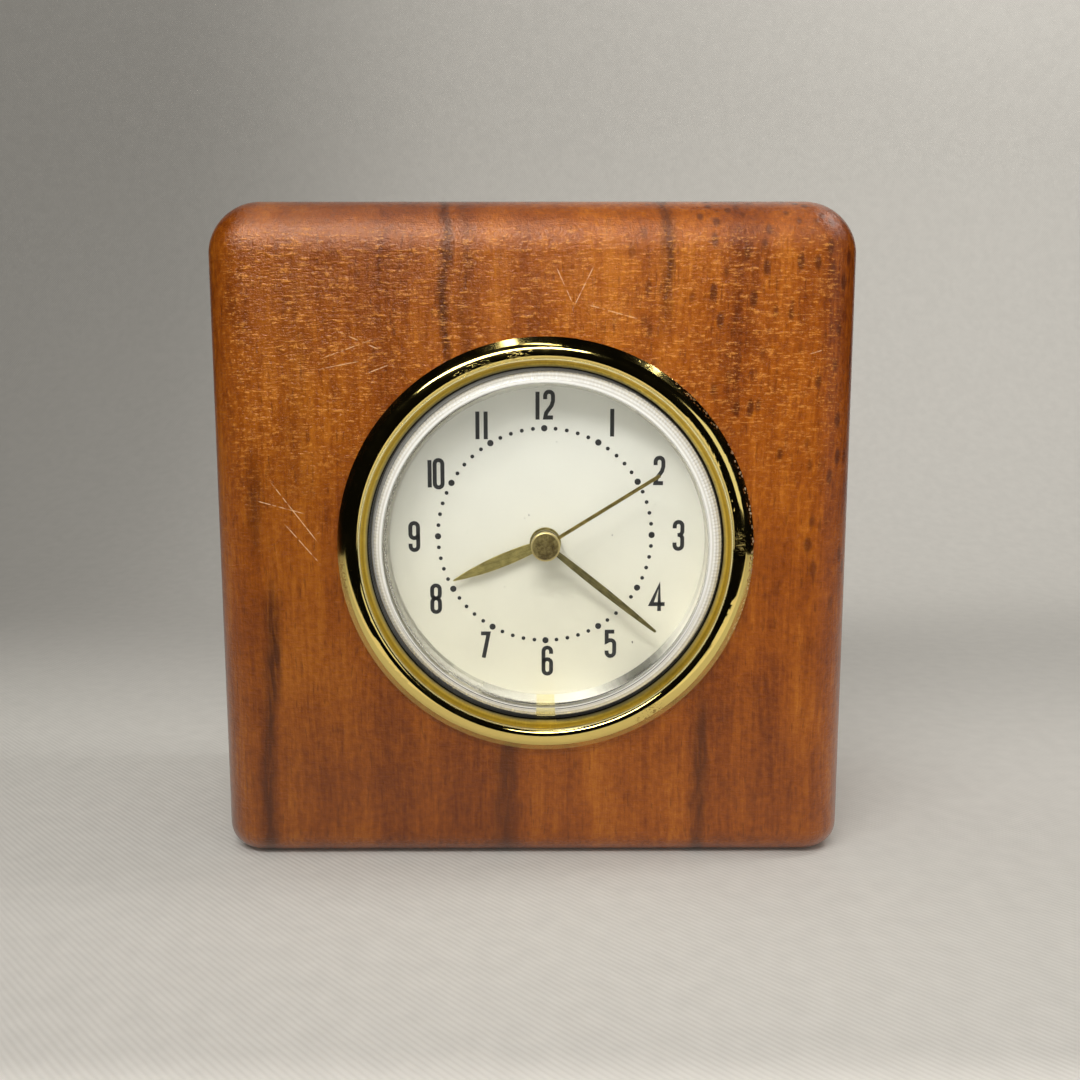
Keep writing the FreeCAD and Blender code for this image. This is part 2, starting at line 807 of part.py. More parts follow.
def wheel_with_pinion(place, wheel, pinion, arbor):
    """Return a wheel, its pinion, its hub and its arbor as one moulding."""
    wheel_teeth, wheel_module, wheel_phase, wheel_front = wheel
    pinion_teeth, pinion_module, pinion_phase, pinion_front, pinion_back = pinion
    radius, arbor_front, arbor_back = arbor
    wheel_back = wheel_front + wheel_thickness
    toothed = gear(place, wheel_teeth, wheel_module, wheel_phase, wheel_front, wheel_back)
    toothed = toothed.cut(windows(place, wheel_teeth, wheel_module, wheel_front, wheel_back))
    leaf = gear(place, pinion_teeth, pinion_module, pinion_phase, pinion_front, pinion_back)
    hub_radius = min(wheel_hub_radius, (pinion_teeth / 2 - dedendum_share) * pinion_module)
    hub_front = min(wheel_front, pinion_front)
    hub_back = max(wheel_back, pinion_back)
    pieces = [toothed, leaf, disc(place, hub_radius, hub_front, hub_back)]
    pieces.append(disc(place, radius, arbor_front, arbor_back))
    return joined(pieces)


def make_train():
    """Each wheel meshes with the pinion before it, tooth against gap, from the rotor to the centre."""
    front_pivot = plate_back - pivot_depth + turning_gap
    rear_pivot = bridge_front + pivot_depth - turning_gap
    arbor = (arbor_radius, front_pivot, rear_pivot)
    to_rotor = rotor_angle
    to_intermediate = intermediate_angle
    to_third = third_angle

    pinion_front = intermediate_front - pinion_margin
    pinion_back = intermediate_front + wheel_thickness + pinion_margin
    phase = to_rotor + half_turn
    pinion = gear(rotor_axis, rotor_pinion_teeth, rotor_module, phase, pinion_front, pinion_back)
    rotor_arbor = disc(rotor_axis, rotor_arbor_radius, front_pivot, rear_pivot)
    rotor_hub = disc(rotor_axis, magnet_hub_radius, pinion_back, magnet_back)
    save("rotor_pinion", joined([pinion, rotor_arbor, rotor_hub]))
    save("rotor_magnet", ring(rotor_axis, magnet_radius, magnet_hub_radius, magnet_front, magnet_back))

    phase = facing_phase(intermediate_teeth, to_rotor + half_turn)
    wheel = (intermediate_teeth, rotor_module, phase, intermediate_front)
    leaf = (
        intermediate_pinion_teeth, second_module, to_intermediate + half_turn,
        second_wheel_front - pinion_margin, intermediate_front,
    )
    save("intermediate_wheel", wheel_with_pinion(intermediate_axis, wheel, leaf, arbor))

    phase = facing_phase(second_teeth, to_intermediate + half_turn)
    wheel = (second_teeth, second_module, phase, second_wheel_front)
    leaf = (
        second_pinion_teeth, third_module, to_third,
        third_wheel_front - pinion_margin, second_wheel_front,
    )
    second_arbor = (second_arbor_radius, cap_front + cap_skin, rear_pivot)
    save("second_wheel", wheel_with_pinion(centre_axis, wheel, leaf, second_arbor))

    wheel = (third_teeth, third_module, facing_phase(third_teeth, to_third), third_wheel_front)
    leaf = (
        third_pinion_teeth, centre_module, to_third + half_turn,
        centre_wheel_front - pinion_margin, third_wheel_front,
    )
    save("third_wheel", wheel_with_pinion(third_axis, wheel, leaf, arbor))

    centre_back = centre_wheel_front + wheel_thickness
    phase = facing_phase(centre_teeth, to_third + half_turn)
    centre = gear(centre_axis, centre_teeth, centre_module, phase, centre_wheel_front, centre_back)
    centre = centre.cut(windows(centre_axis, centre_teeth, centre_module, centre_wheel_front, centre_back))
    wheel_bore_radius = cannon_rear_radius + turning_gap
    save("centre_wheel", centre.cut(hole(centre_axis, wheel_bore_radius, centre_wheel_front, centre_back)))


def make_motion_work():
    """The cannon pinion turns the motion wheel, which turns the hour wheel twelve times slower."""
    to_motion = motion_angle
    to_setting = setting_direction
    collar_front = centre_wheel_front + wheel_thickness + turning_gap
    tube_back = bush_back + turning_gap
    cannon = joined([
        gear(centre_axis, cannon_teeth, motion_module, to_motion, cannon_teeth_front, cannon_teeth_back),
        disc(centre_axis, cannon_radius, minute_hub_front, tube_back),
        disc(centre_axis, cannon_rear_radius, tube_back, collar_front),
        disc(centre_axis, cannon_collar_radius, collar_front, collar_front + cannon_collar_height),
    ])
    arbor_room = disc(centre_axis, cannon_bore_radius, cap_front, third_wheel_front)
    save("cannon_pinion", cannon.cut(arbor_room))

    motion_phase = facing_phase(motion_wheel_teeth, to_motion)
    stud_room = disc(motion_axis, motion_stud_radius + turning_gap, dial_back, plate_front + cut_overrun)
    wheel = gear(
        motion_axis, motion_wheel_teeth, motion_module, motion_phase,
        motion_wheel_front, motion_wheel_back,
    )
    leaf = gear(
        motion_axis, motion_pinion_teeth, hour_module, to_motion + half_turn,
        hour_wheel_front, motion_wheel_front,
    )
    save("motion_wheel", joined([wheel, leaf]).cut(stud_room))

    hour_phase = facing_phase(hour_wheel_teeth, to_motion + half_turn)
    hour = joined([
        gear(centre_axis, hour_wheel_teeth, hour_module, hour_phase, hour_wheel_front, hour_wheel_back),
        disc(centre_axis, pipe_radius, hour_hub_front, hour_wheel_back),
    ])
    save("hour_wheel", hour.cut(hole(centre_axis, pipe_bore_radius, hour_hub_front, hour_wheel_back)))

    wheel_pitch = full_turn / motion_wheel_teeth
    nearest_tooth = round((to_setting - motion_phase) / wheel_pitch) * wheel_pitch + motion_phase
    tooth_offset = (to_setting - nearest_tooth) * motion_wheel_teeth / setting_pinion_teeth
    setting_phase = facing_phase(setting_pinion_teeth, to_setting) + tooth_offset
    pinion = gear(
        setting_axis, setting_pinion_teeth, motion_module, setting_phase,
        cannon_teeth_front, cannon_teeth_back,
    )
    shaft = disc(setting_axis, setting_arbor_radius, cannon_teeth_back, knob_front)
    save("setting_arbor", joined([pinion, shaft]))


def make_setting_knob():
    """A fluted knob on the end of the setting arbor, with a slot across its back."""
    knob = disc(setting_axis, knob_radius, knob_front, knob_back)
    cuts = []
    for count in range(knob_flutes):
        place = from_point(setting_axis, knob_radius, count * full_turn / knob_flutes)
        cuts.append(hole(place, knob_flute_radius, knob_front, knob_back))
    half = knob_slot_width / 2
    cuts.append(box(
        setting_axis[0] - half, setting_axis[0] + half,
        knob_back - knob_slot_depth, knob_back + cut_overrun,
        setting_axis[1] - 2 * knob_radius, setting_axis[1] + 2 * knob_radius,
    ))
    save("setting_knob", knob.cut(cuts))


def make_motor():
    """The stator rings the rotor and joins both ends of the coil's core."""
    half_arm = stator_arm_width / 2
    ring_radius = magnet_radius + stator_air_gap + stator_ring_width
    x, z = rotor_axis
    pieces = [disc(rotor_axis, ring_radius, stator_front, stator_back)]
    left = x - half_arm
    right = x + half_arm
    for end_x, end_z in coil_ends:
        low = end_z - half_arm
        high = end_z + half_arm
        pieces.append(box(end_x - half_arm, right, stator_front, stator_back, low, high))
        pieces.append(box(left, right, stator_front, stator_back, min(z, end_z), max(z, end_z)))
    cuts = [hole(rotor_axis, magnet_radius + stator_air_gap, stator_front, stator_back)]
    for side in (-1, 1):
        notch = (x + side * ring_radius, z)
        cuts.append(hole(notch, saturation_notch_radius, stator_front, stator_back))
    for place in coil_ends:
        cuts.append(hole(place, screw_radius, stator_front, stator_back))
    save("stator", joined(pieces).cut(cuts))

    half_core = core_width / 2
    low = coil_ends[1][1] - half_arm
    high = coil_ends[0][1] + half_arm
    core = box(coil_x - half_core, coil_x + half_core, stator_back, core_back, low, high)
    for place in coil_ends:
        core = core.cut(hole(place, screw_radius, stator_back, core_back))
    save("coil_core", core)

    middle_depth = (stator_back + core_back) / 2
    bottom = z - bobbin_half_length

    def coil_bar(radius, start, length):
        """Return a round bar along the coil, counted up from the bobbin's lower end."""
        foot = Vector(coil_x, middle_depth, bottom + start)
        return Part.makeCylinder(radius, length, foot, Vector(0, 0, 1))

    length = 2 * bobbin_half_length
    bobbin = joined([
        coil_bar(bobbin_tube_radius, 0, length),
        coil_bar(bobbin_flange_radius, 0, bobbin_flange_thickness),
        coil_bar(bobbin_flange_radius, length - bobbin_flange_thickness, bobbin_flange_thickness),
    ])
    core_room = box(
        coil_x - half_core - core_play, coil_x + half_core + core_play,
        stator_back - core_play, core_back + core_play, bottom - cut_overrun, bottom + length + cut_overrun,
    )
    save("coil_bobbin", bobbin.cut(core_room))
    winding_length = length - 2 * bobbin_flange_thickness
    winding = coil_bar(winding_radius, bobbin_flange_thickness, winding_length)
    save("coil_winding", winding.cut(coil_bar(bobbin_tube_radius, 0, length)))


def make_board():
    """The board is a curved strip beside the bridge, with the chip and the quartz can behind it."""
    board = sector_wall(
        centre_axis, board_outer_radius, board_inner_radius, board_front, board_back,
        board_start_angle, board_end_angle,
    )
    for place in board_posts:
        board = board.cut(hole(place, board_pin_radius, board_front, board_back))
    save("circuit_board", board)

    sphere_radius = (chip_radius ** 2 + chip_height ** 2) / (2 * chip_height)
    x, z = polar(chip_distance, chip_angle)
    ball = Part.makeSphere(sphere_radius, Vector(x, board_back + chip_height - sphere_radius, z))
    over_board = disc((x, z), 2 * chip_radius, board_back, board_back + 2 * chip_height)
    save("circuit_chip", ball.common(over_board))

    x, z = polar(can_distance, can_angle)
    along = Vector(math.cos(math.radians(can_angle)), 0, -math.sin(math.radians(can_angle)))
    middle = Vector(x, board_back + can_radius, z)
    can = Part.makeCylinder(can_radius, can_length, middle - along * (can_length / 2), along)
    leads = []
    across = Vector(along.z, 0, -along.x)
    for side in (-1, 1):
        foot = middle + along * (can_length / 2) + across * (side * can_radius / 2)
        leads.append(Part.makeCylinder(can_lead_radius, can_lead_length, foot, along))
    save("quartz_can", joined([can] + leads))


def strip_along(points, thickness, near, far):
    """Return an upright strip of even thickness along a bent line of x and z points."""
    pieces = []
    for start, end in zip(points, points[1:]):
        reach = math.hypot(end[0] - start[0], end[1] - start[1])
        side_x = -(end[1] - start[1]) / reach * thickness / 2
        side_z = (end[0] - start[0]) / reach * thickness / 2
        corners = [
            (start[0] + side_x, start[1] + side_z),
            (end[0] + side_x, end[1] + side_z),
            (end[0] - side_x, end[1] - side_z),
            (start[0] - side_x, start[1] - side_z),
        ]
        pieces.append(slab(corners, near, far))
    for place in points:
        pieces.append(disc(place, thickness / 2, near, far))
    return joined(pieces)


def make_cell():
    """The button cell lies in its pocket, with its small end forwards."""
    can = disc(cell_axis, cell_radius, cell_front + cell_step_height, cell_back)
    small_end = disc(cell_axis, cell_step_radius, cell_front, cell_front + cell_step_height)
    save("battery", joined([can, small_end]))

    foot = polar(minus_foot_distance, minus_foot_angle)
    flat = strip_along([foot, cell_axis], minus_contact_width, board_back, minus_contact_back)
    pad = disc(cell_axis, minus_pad_radius, board_back, minus_contact_back)
    save("battery_minus_contact", joined([flat, pad]))

    rim_x = cell_axis[0] + cell_radius + contact_gap + contact_thickness / 2
    start = polar(plus_foot_distance, plus_foot_angle)
    bend = polar(plus_bend_distance, plus_bend_angle)
    knee = (rim_x, cell_axis[1] + cell_radius / 2)
    end = (rim_x, cell_axis[1] - cell_radius / 4)
    spring_back = minus_contact_back + plus_contact_width
    spring = strip_along([start, bend, knee, end], contact_thickness, board_back, spring_back)
    foot = disc(start, plus_foot_radius, board_back, minus_contact_back)
    room = disc(centre_axis, board_outer_radius, board_back, minus_contact_back)
    save("battery_plus_contact", joined([spring, foot.common(room)]))


def make_battery_hatch():
    """A round plug with two lugs that turn under the edge of its hole, and a slot for a coin."""
    front = cell_back + contact_gap
    lug_radius = hatch_radius + hatch_lug_reach
    lug_back = front + hatch_lug_height
    pieces = [disc(cell_axis, hatch_radius, front, floor_back)]
    for side in (0, half_turn):
        middle = hatch_first_lug_angle + side
        pieces.append(hatch_lug(lug_radius, hatch_lug_span_angle, front, lug_back, middle))
    hatch = joined(pieces)
    slot = box(
        cell_axis[0] - coin_slot_length / 2, cell_axis[0] + coin_slot_length / 2,
        floor_back - coin_slot_depth, floor_back + cut_overrun,
        cell_axis[1] - coin_slot_width / 2, cell_axis[1] + coin_slot_width / 2,
    )
    save("battery_hatch", hatch.cut(slot))


make_wood_block()
make_bezel()
make_crystal()
make_dial()
make_hour_hand()
make_minute_hand()
make_second_hand()
make_second_hand_cap()
make_rear_case()
make_retaining_gasket()
make_front_plate()
make_centre_bush()
make_train_bridge()
make_screws()
make_train()
make_motion_work()
make_setting_knob()
make_motor()
make_board()
make_cell()
make_battery_hatch()
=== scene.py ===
# %% [markdown]
# # A wooden desk clock, dressed for its portrait
# The construction of this clock is already solved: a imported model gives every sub-part, in metres,
# in one frame (x to the right, y into the block, z up, the base at z = 0). This lesson adds what
# the eye needs: the varnish, the gold plate, the print on the dial, wear, a stage and light.
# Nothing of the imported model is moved. A part whose shape is right only gets a better material,
# and a detail that the model leaves out becomes a new thin piece that rides on the same body.

# %% Load the frame
import bpy, bmesh, json, math, random
from mathutils import Matrix, Vector


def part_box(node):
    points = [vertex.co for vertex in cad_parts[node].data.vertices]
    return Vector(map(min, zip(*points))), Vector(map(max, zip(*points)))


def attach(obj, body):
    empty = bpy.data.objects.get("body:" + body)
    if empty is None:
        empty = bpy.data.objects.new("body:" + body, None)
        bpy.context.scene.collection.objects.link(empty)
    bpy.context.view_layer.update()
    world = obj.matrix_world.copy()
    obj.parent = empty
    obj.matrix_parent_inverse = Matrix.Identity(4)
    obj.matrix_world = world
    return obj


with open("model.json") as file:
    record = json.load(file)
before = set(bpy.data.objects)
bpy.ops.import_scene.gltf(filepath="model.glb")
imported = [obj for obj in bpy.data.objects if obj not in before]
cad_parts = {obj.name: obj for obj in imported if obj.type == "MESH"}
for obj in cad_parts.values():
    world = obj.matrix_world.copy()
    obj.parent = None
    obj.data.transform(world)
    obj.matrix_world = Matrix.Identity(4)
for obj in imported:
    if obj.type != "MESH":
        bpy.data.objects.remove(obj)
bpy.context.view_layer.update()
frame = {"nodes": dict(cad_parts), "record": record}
nodes = frame["nodes"]
MM = 0.001
block_low, block_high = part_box("wood_block")
print("block, mm:", [round((b - a) / MM, 2) for a, b in zip(block_low, block_high)])

# %% [markdown]
# ## Where things are
# The insert is round, so most of its detail is easiest to place by clock angle and distance from
# its axis. The axis is read from the dial's own box, and the face of the wood from the block's.

# %% Insert axis, front face and a point on the insert
dial_low, dial_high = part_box("dial")
axis_x = (dial_low[0] + dial_high[0]) / 2
axis_z = (dial_low[2] + dial_high[2]) / 2
face_y = block_low[1]
dial_y = dial_low[1]


def on_insert(right, up, y):
    """A point given in mm to the right of and above the insert's axis, at a depth in metres."""
    return Vector((axis_x + right * MM, y, axis_z + up * MM))


print("axis, mm:", round(axis_x / MM, 2), round(axis_z / MM, 2))
print("dial behind the face, mm:", round((dial_y - face_y) / MM, 2))

# %% [markdown]
# ## Colour and node helpers
# Colours are written as sRGB hex, the way a swatch book or a paint program gives them. Blender's
# shaders work in linear light, so one function converts them. A second small function adds any
# shader node, sets its properties and links or fills its inputs, and gives back its output socket.

# %% Hex to linear
def tone(code, alpha=1.0):
    """An sRGB hex colour as linear RGBA."""
    values = [int(code[i:i + 2], 16) / 255 for i in (1, 3, 5)]
    return (*[v / 12.92 if v <= 0.04045 else ((v + 0.055) / 1.055) ** 2.4 for v in values], alpha)


# %% One node
def add(tree, kind, inputs=None, out=0, **settings):
    """Adds a node, sets its properties and its inputs (a socket is linked), and returns an output."""
    new = tree.nodes.new("ShaderNode" + kind)
    stops = settings.pop("stops", None)
    for key, value in settings.items():
        setattr(new, key, value)
    for key, value in (inputs or {}).items():
        if isinstance(value, bpy.types.NodeSocket):
            tree.links.new(value, new.inputs[key])
        else:
            new.inputs[key].default_value = value
    if stops:
        ramp = new.color_ramp.elements
        while len(ramp) < len(stops):
            ramp.new(1.0)
        for element, (place, colour) in zip(ramp, stops):
            element.position = place
            element.color = tone(colour)
    return new.outputs[out]


# %% A bare surface to start each material from
def surface(name, **values):
    """A new material with one Principled surface; values fill its sockets, with _ for a space."""
    made = bpy.data.materials.new(name)
    made.use_nodes = True
    shader = made.node_tree.nodes["Principled BSDF"]
    for key, value in values.items():
        shader.inputs[key.replace("_", " ")].default_value = value
    return made, made.node_tree, shader.inputs


def wear_it(name, material):
    """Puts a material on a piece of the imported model."""
    slots = nodes[name].material_slots
    for slot in slots:
        slot.material = material
    print(name, "->", material.name, "in", len(slots), "slot(s)")


# %% [markdown]
# ## Places and masks
# A pattern on a real thing has a size and a place, so the materials work in millimetres of the
# clock's own frame. A mask is a value from 0 to 1 over the surface that says how strongly
# something is there. Masks are made with soft steps, multiplied to keep one inside another, and
# joined where several marks of one kind lie apart.

# %% Places in millimetres, inside a material
def in_mm(tree):
    """The point being shaded, in mm of the object's own frame (output 3 is Object coordinates)."""
    return add(tree, "VectorMath", {0: add(tree, "TexCoord", out=3), "Scale": 1000.0}, operation="SCALE")


def stretched(tree, place, scale, out=0, **settings):
    """Fine noise whose cells are stretched or squeezed by one scale for each axis, in cells per mm."""
    squeezed = add(tree, "VectorMath", {0: place, 1: scale}, operation="MULTIPLY")
    return add(tree, "TexNoise", {"Vector": squeezed, "Scale": 1.0, **settings}, out=out)


# %% Masks and soft steps
def times(tree, first, *others):
    """Masks or values multiplied in turn: a mask kept inside others, or made weaker."""
    for other in others:
        first = add(tree, "Math", {0: first, 1: other}, operation="MULTIPLY")
    return first


def plus(tree, first, *others):
    """Values added up in turn, as layers of one pattern."""
    for other in others:
        first = add(tree, "Math", {0: first, 1: other})
    return first


def any_of(tree, first, *others):
    """One mask that is as strong as the strongest of several."""
    for other in others:
        first = add(tree, "Math", {0: first, 1: other}, operation="MAXIMUM")
    return first


def fade(tree, value, start, end, low=0.0, high=1.0):
    """A soft step from low to high as a value goes from start to end."""
    return add(tree, "MapRange", {0: value, 1: start, 2: end, 3: low, 4: high},
               interpolation_type="SMOOTHSTEP")


def near_to(tree, value, at, half_width):
    """1 where a value is at a place, falling softly to 0 at half_width from it."""
    away = add(tree, "Math", {0: value, 1: at}, operation="SUBTRACT")
    return fade(tree, add(tree, "Math", {0: away}, operation="ABSOLUTE"), half_width, 0.0)


def ripples(tree, value, per_unit):
    """A sine wave along a value, given in radians for each unit of it."""
    return add(tree, "Math", {0: times(tree, value, per_unit)}, operation="SINE")


# %% Places round the insert, inside a material
def about_axis(tree, place):
    """Distance from the insert's axis in mm, and turn about it in degrees clockwise from 12."""
    arm = add(tree, "VectorMath", {0: place, 1: (axis_x / MM, 0.0, axis_z / MM)}, operation="SUBTRACT")
    flat = add(tree, "VectorMath", {0: arm, 1: (1.0, 0.0, 1.0)}, operation="MULTIPLY")
    distance = add(tree, "VectorMath", {0: flat}, out=1, operation="LENGTH")
    sides = add(tree, "SeparateXYZ", {0: arm}).node.outputs
    turn = add(tree, "Math", {0: sides[0], 1: sides[2]}, operation="ARCTAN2")
    return distance, times(tree, turn, 180 / math.pi)


# %% [markdown]
# ## The stage
# The clock stands on a pale cotton cloth in front of a pale wall. One sheet makes both: it runs
# flat under the clock and sweeps up behind it, as a paper or cloth sweep does in a studio, so no
# hard line shows. Its front and side edges lie just outside the picture. That matters to the gold
# ring, which mirrors the room: the near cloth shows in it as a pale band, and past the cloth's edge
# the ring goes dark, as polished metal does in a real room.

# %% Sweep
def sweep_profile(step):
    """Depth and height of the sheet, from just in front of the clock to high behind it."""
    front, fold, rise, radius = -0.095, 0.13, 0.40, 0.16
    if step < 0.45:
        return front + (fold - front) * step / 0.45, 0.0
    if step < 0.65:
        turn = (step - 0.45) / 0.2 * math.pi / 2
        return fold + radius * math.sin(turn), radius * (1 - math.cos(turn))
    return fold + radius, radius + rise * (step - 0.65) / 0.35


sheet = bmesh.new()
columns, steps_up = (-0.24, -0.12, 0.0, 0.12, 0.24), 80
rows = [[sheet.verts.new((x, *sweep_profile(i / steps_up))) for x in columns] for i in range(steps_up + 1)]
for near, far in zip(rows, rows[1:]):
    for k in range(len(columns) - 1):
        sheet.faces.new((near[k], near[k + 1], far[k + 1], far[k])).smooth = True
sweep_mesh = bpy.data.meshes.new("cloth_sweep")
sheet.to_mesh(sweep_mesh)
sheet.free()
sweep = bpy.data.objects.new("cloth_sweep", sweep_mesh)
bpy.context.scene.collection.objects.link(sweep)
print("sweep rows:", len(rows))

# %% [markdown]
# The cloth is a fine cotton twill. Its threads are about 0.25 mm apart, which is under two pixels
# of this picture, so the weave is drawn at 0.6 mm: fine diagonal ribs, seen only close to the
# clock. It is a diffuse surface with no shine. Its colour is greyed by painted shade in a band
# behind the clock, and at the sheet's far left, high up. Painted light makes it a touch brighter
# towards the front and much brighter at its front hem, at the very edge of the picture, which is
# seen mostly in the gold ring.

# %% Cotton twill
cotton = "#CFCBC3"
cloth, tree, into = surface("cotton_twill", Roughness=0.95)
mm = in_mm(tree)
ribs = add(tree, "TexWave", {"Vector": mm, "Scale": 0.7, "Distortion": 0.6, "Detail": 1.0, "Detail Scale": 0.5},
           out=1, bands_direction="DIAGONAL")
slub = add(tree, "TexNoise", {"Vector": mm, "Scale": 0.35, "Detail": 6.0})
weave = add(tree, "MapRange", {0: ribs, 3: 0.95, 4: 1.0})
slubs = add(tree, "MapRange", {0: slub, 1: 0.3, 2: 0.7, 3: 0.96, 4: 1.02})
across_mm, depth_mm = add(tree, "SeparateXYZ", {0: mm}).node.outputs[:2]
# Painted shade: the cloth is made greyer in a band behind the clock.
painted_shade_behind_clock = add(tree, "MapRange", {0: near_to(tree, depth_mm, 95.0, 75.0), 3: 1.0, 4: 0.84})
# Painted light: the front hem is made much brighter, for its reflection in the gold ring.
painted_light_at_hem = fade(tree, depth_mm, -57.0, -66.0, 1.0, 1.45)
# Painted shade: the sheet's far left, high up, is made greyer.
painted_shade_far_left = times(tree, fade(tree, depth_mm, 60.0, 170.0), fade(tree, across_mm, -10.0, -150.0, 0.0, 0.34))
unshaded_part = add(tree, "Math", {0: 1.0, 1: painted_shade_far_left}, operation="SUBTRACT")
# Painted light: the cloth is made a touch brighter towards the front.
painted_light_near_front = fade(tree, depth_mm, 60.0, 0.0, 0.0, 0.04)
thread = times(tree, weave, slubs, painted_shade_behind_clock, painted_light_at_hem, plus(tree, unshaded_part, painted_light_near_front))
cloth_colour = add(tree, "VectorMath", {0: tone(cotton)[:3], "Scale": thread}, operation="SCALE")
tree.links.new(cloth_colour, into["Base Color"])
lift = add(tree, "Bump", {"Height": ribs, "Strength": 0.25, "Distance": 0.0001})
tree.links.new(lift, into["Normal"])
sweep_mesh.materials.append(cloth)
print("cloth colour:", [round(v, 3) for v in tone(cotton)[:3]])

# %% [markdown]
# ## The camera
# The photograph looks at the clock almost square on, from a little above and from very near, as a
# phone does: about 12 cm from the face, with a lens like a 35 mm one on full frame. That nearness
# is why the block looks narrower at its foot.

# %% Camera
lens_mm, pitch, yaw, roll = 34.67, 0.12988, 0.00233, -0.00085
eye = Vector((0.00056, -0.14046, 0.05503))
ahead = Vector((math.sin(yaw) * math.cos(pitch), math.cos(yaw) * math.cos(pitch), -math.sin(pitch)))
right = Vector((math.cos(yaw), -math.sin(yaw), 0.0))
up = right.cross(ahead)
right, up = math.cos(roll) * right + math.sin(roll) * up, math.cos(roll) * up - math.sin(roll) * right
camera = bpy.data.objects.new("camera", bpy.data.cameras.new("camera"))
camera.data.lens = lens_mm
camera.data.sensor_width = 36.0
camera.data.clip_start = 0.01
camera.matrix_world = Matrix((
    (right.x, up.x, -ahead.x, eye.x),
    (right.y, up.y, -ahead.y, eye.y),
    (right.z, up.z, -ahead.z, eye.z),
    (0.0, 0.0, 0.0, 1.0)))
bpy.context.scene.collection.objects.link(camera)
bpy.context.scene.camera = camera
print("camera to dial, mm:", round((dial_y - eye.y) / MM, 1))

# %% [markdown]
# ## Light
# The gold ring tells where the lamps were: it has two white arcs on its upper shoulder, so one
# wide light stands about 45 degrees up in front and a narrow strip almost overhead. The front one
# is near, so the wood is bright at the top and falls off towards the foot, and it makes the pale
# band on the rounded top edge. Its beam is narrowed, which keeps it off the wall. A low lamp at
# the right is like a window, and one beside the clock lights the wall. A broad fill from the
# front, which is kept out of reflections, reaches into the well of the dial. The room itself is
# dim, and almost black in reflections, but not through the clear crystal.

# %% Lamps
def panel(name, at, towards, width, height, watts):
    """A rectangular area lamp at a point, turned towards another."""
    lamp = bpy.data.objects.new(name, bpy.data.lights.new(name, "AREA"))
    lamp.data.shape = "RECTANGLE"
    lamp.data.size, lamp.data.size_y = width, height
    lamp.data.energy = watts
    lamp.location = at
    lamp.rotation_euler = (Vector(towards) - Vector(at)).to_track_quat("-Z", "Y").to_euler()
    bpy.context.scene.collection.objects.link(lamp)
    print(name, watts, "W")
    return lamp


front_lamp = panel("front_box", (-0.06, -0.19, 0.235), (0.0, -0.02, 0.05), 0.24, 0.038, 0.100)
front_lamp.data.spread = math.radians(80)
panel("side_window", (0.42, -0.33, 0.18), (0.0, -0.02, 0.04), 0.26, 0.26, 0.18)
fill = panel("fill", (0.02, -0.40, 0.06), (0.0, -0.02, 0.04), 0.24, 0.12, 0.27)
fill.visible_glossy = False
fill.visible_transmission = False
panel("ceiling_strip", (-0.07, -0.05, 0.46), (0.0, 0.0, 0.0), 0.36, 0.025, 0.15)
panel("wall_wash", (0.24, 0.02, 0.36), (0.15, 0.29, 0.22), 0.12, 0.12, 0.60)

# %% Room
room = bpy.data.worlds.new("room")
bpy.context.scene.world = room
room.use_nodes = True
tree = room.node_tree
rays = add(tree, "LightPath").node.outputs
mirrored = add(tree, "Math", {0: rays["Is Glossy Ray"], 1: rays["Is Transmission Ray"]}, operation="SUBTRACT")
dimness = add(tree, "MapRange", {0: mirrored, 3: 0.43, 4: 0.003})
brightness = add(tree, "MapRange", {0: rays["Is Camera Ray"], 3: dimness, 4: 0.7})
tree.links.new(brightness, tree.nodes["Background"].inputs["Strength"])
tree.nodes["Background"].inputs["Color"].default_value = tone("#F4F3F0")
bpy.context.scene.view_settings.view_transform = "Standard"
print("room: pale to the camera, dim to surfaces")

# %% [markdown]
# ## The wood
# The block is a varnished fruitwood, orange-brown, with its grain running straight up. Real grain
# is a solid thing: the same growth layers show as stripes on the front and cross the top as end
# grain. So the pattern is made in three dimensions, in millimetres, stretched along z. Soft bands
# 5 to 15 mm wide give the growth layers, long thin noise the fibres, and short dark dashes the
# pores. The varnish is a clear coat of satin gloss. Light that it lets into the wood comes back
# golden, which the amber tint of the lower gloss stands for.

# %% Growth layers, fibres and pores
wood, tree, into = surface("varnished_fruitwood", Roughness=0.36, IOR=1.5, Specular_IOR_Level=1.0,
                           Specular_Tint=tone("#FFA040"), Coat_Weight=1.0, Coat_Roughness=0.18, Coat_IOR=1.5)
mm = in_mm(tree)
wander = stretched(tree, mm, (0.03, 0.03, 0.02), out="Color", Detail=2.0)
drift = add(tree, "VectorMath", {0: wander, 1: (0.5, 0.5, 0.5)}, operation="SUBTRACT")
drift = add(tree, "VectorMath", {0: drift, 1: (5.0, 5.0, 0.0)}, operation="MULTIPLY")
grain = add(tree, "VectorMath", {0: mm, 1: drift}, operation="ADD")
layers = stretched(tree, grain, (0.16, 0.05, 0.008), Detail=3.0, Roughness=0.55)
fibres = stretched(tree, grain, (2.2, 2.2, 0.16), Detail=5.0, Roughness=0.7)
cloudy = stretched(tree, mm, (0.12, 0.12, 0.06), Detail=3.0)
mottle = add(tree, "TexNoise", {"Vector": mm, "Scale": 1.3, "Detail": 3.0, "Roughness": 0.6})
body = plus(tree, times(tree, layers, 0.34), times(tree, fibres, 0.26), times(tree, cloudy, 0.22),
            times(tree, mottle, 0.18))
figure = add(tree, "ValToRGB", {0: body},
             stops=[(0.40, "#672604"), (0.475, "#8E4206"), (0.53, "#A55309"), (0.61, "#C67016")])
pores = fade(tree, stretched(tree, grain, (3.4, 3.4, 0.40), Detail=2.0), 0.40, 0.28, 0.0, 0.50)
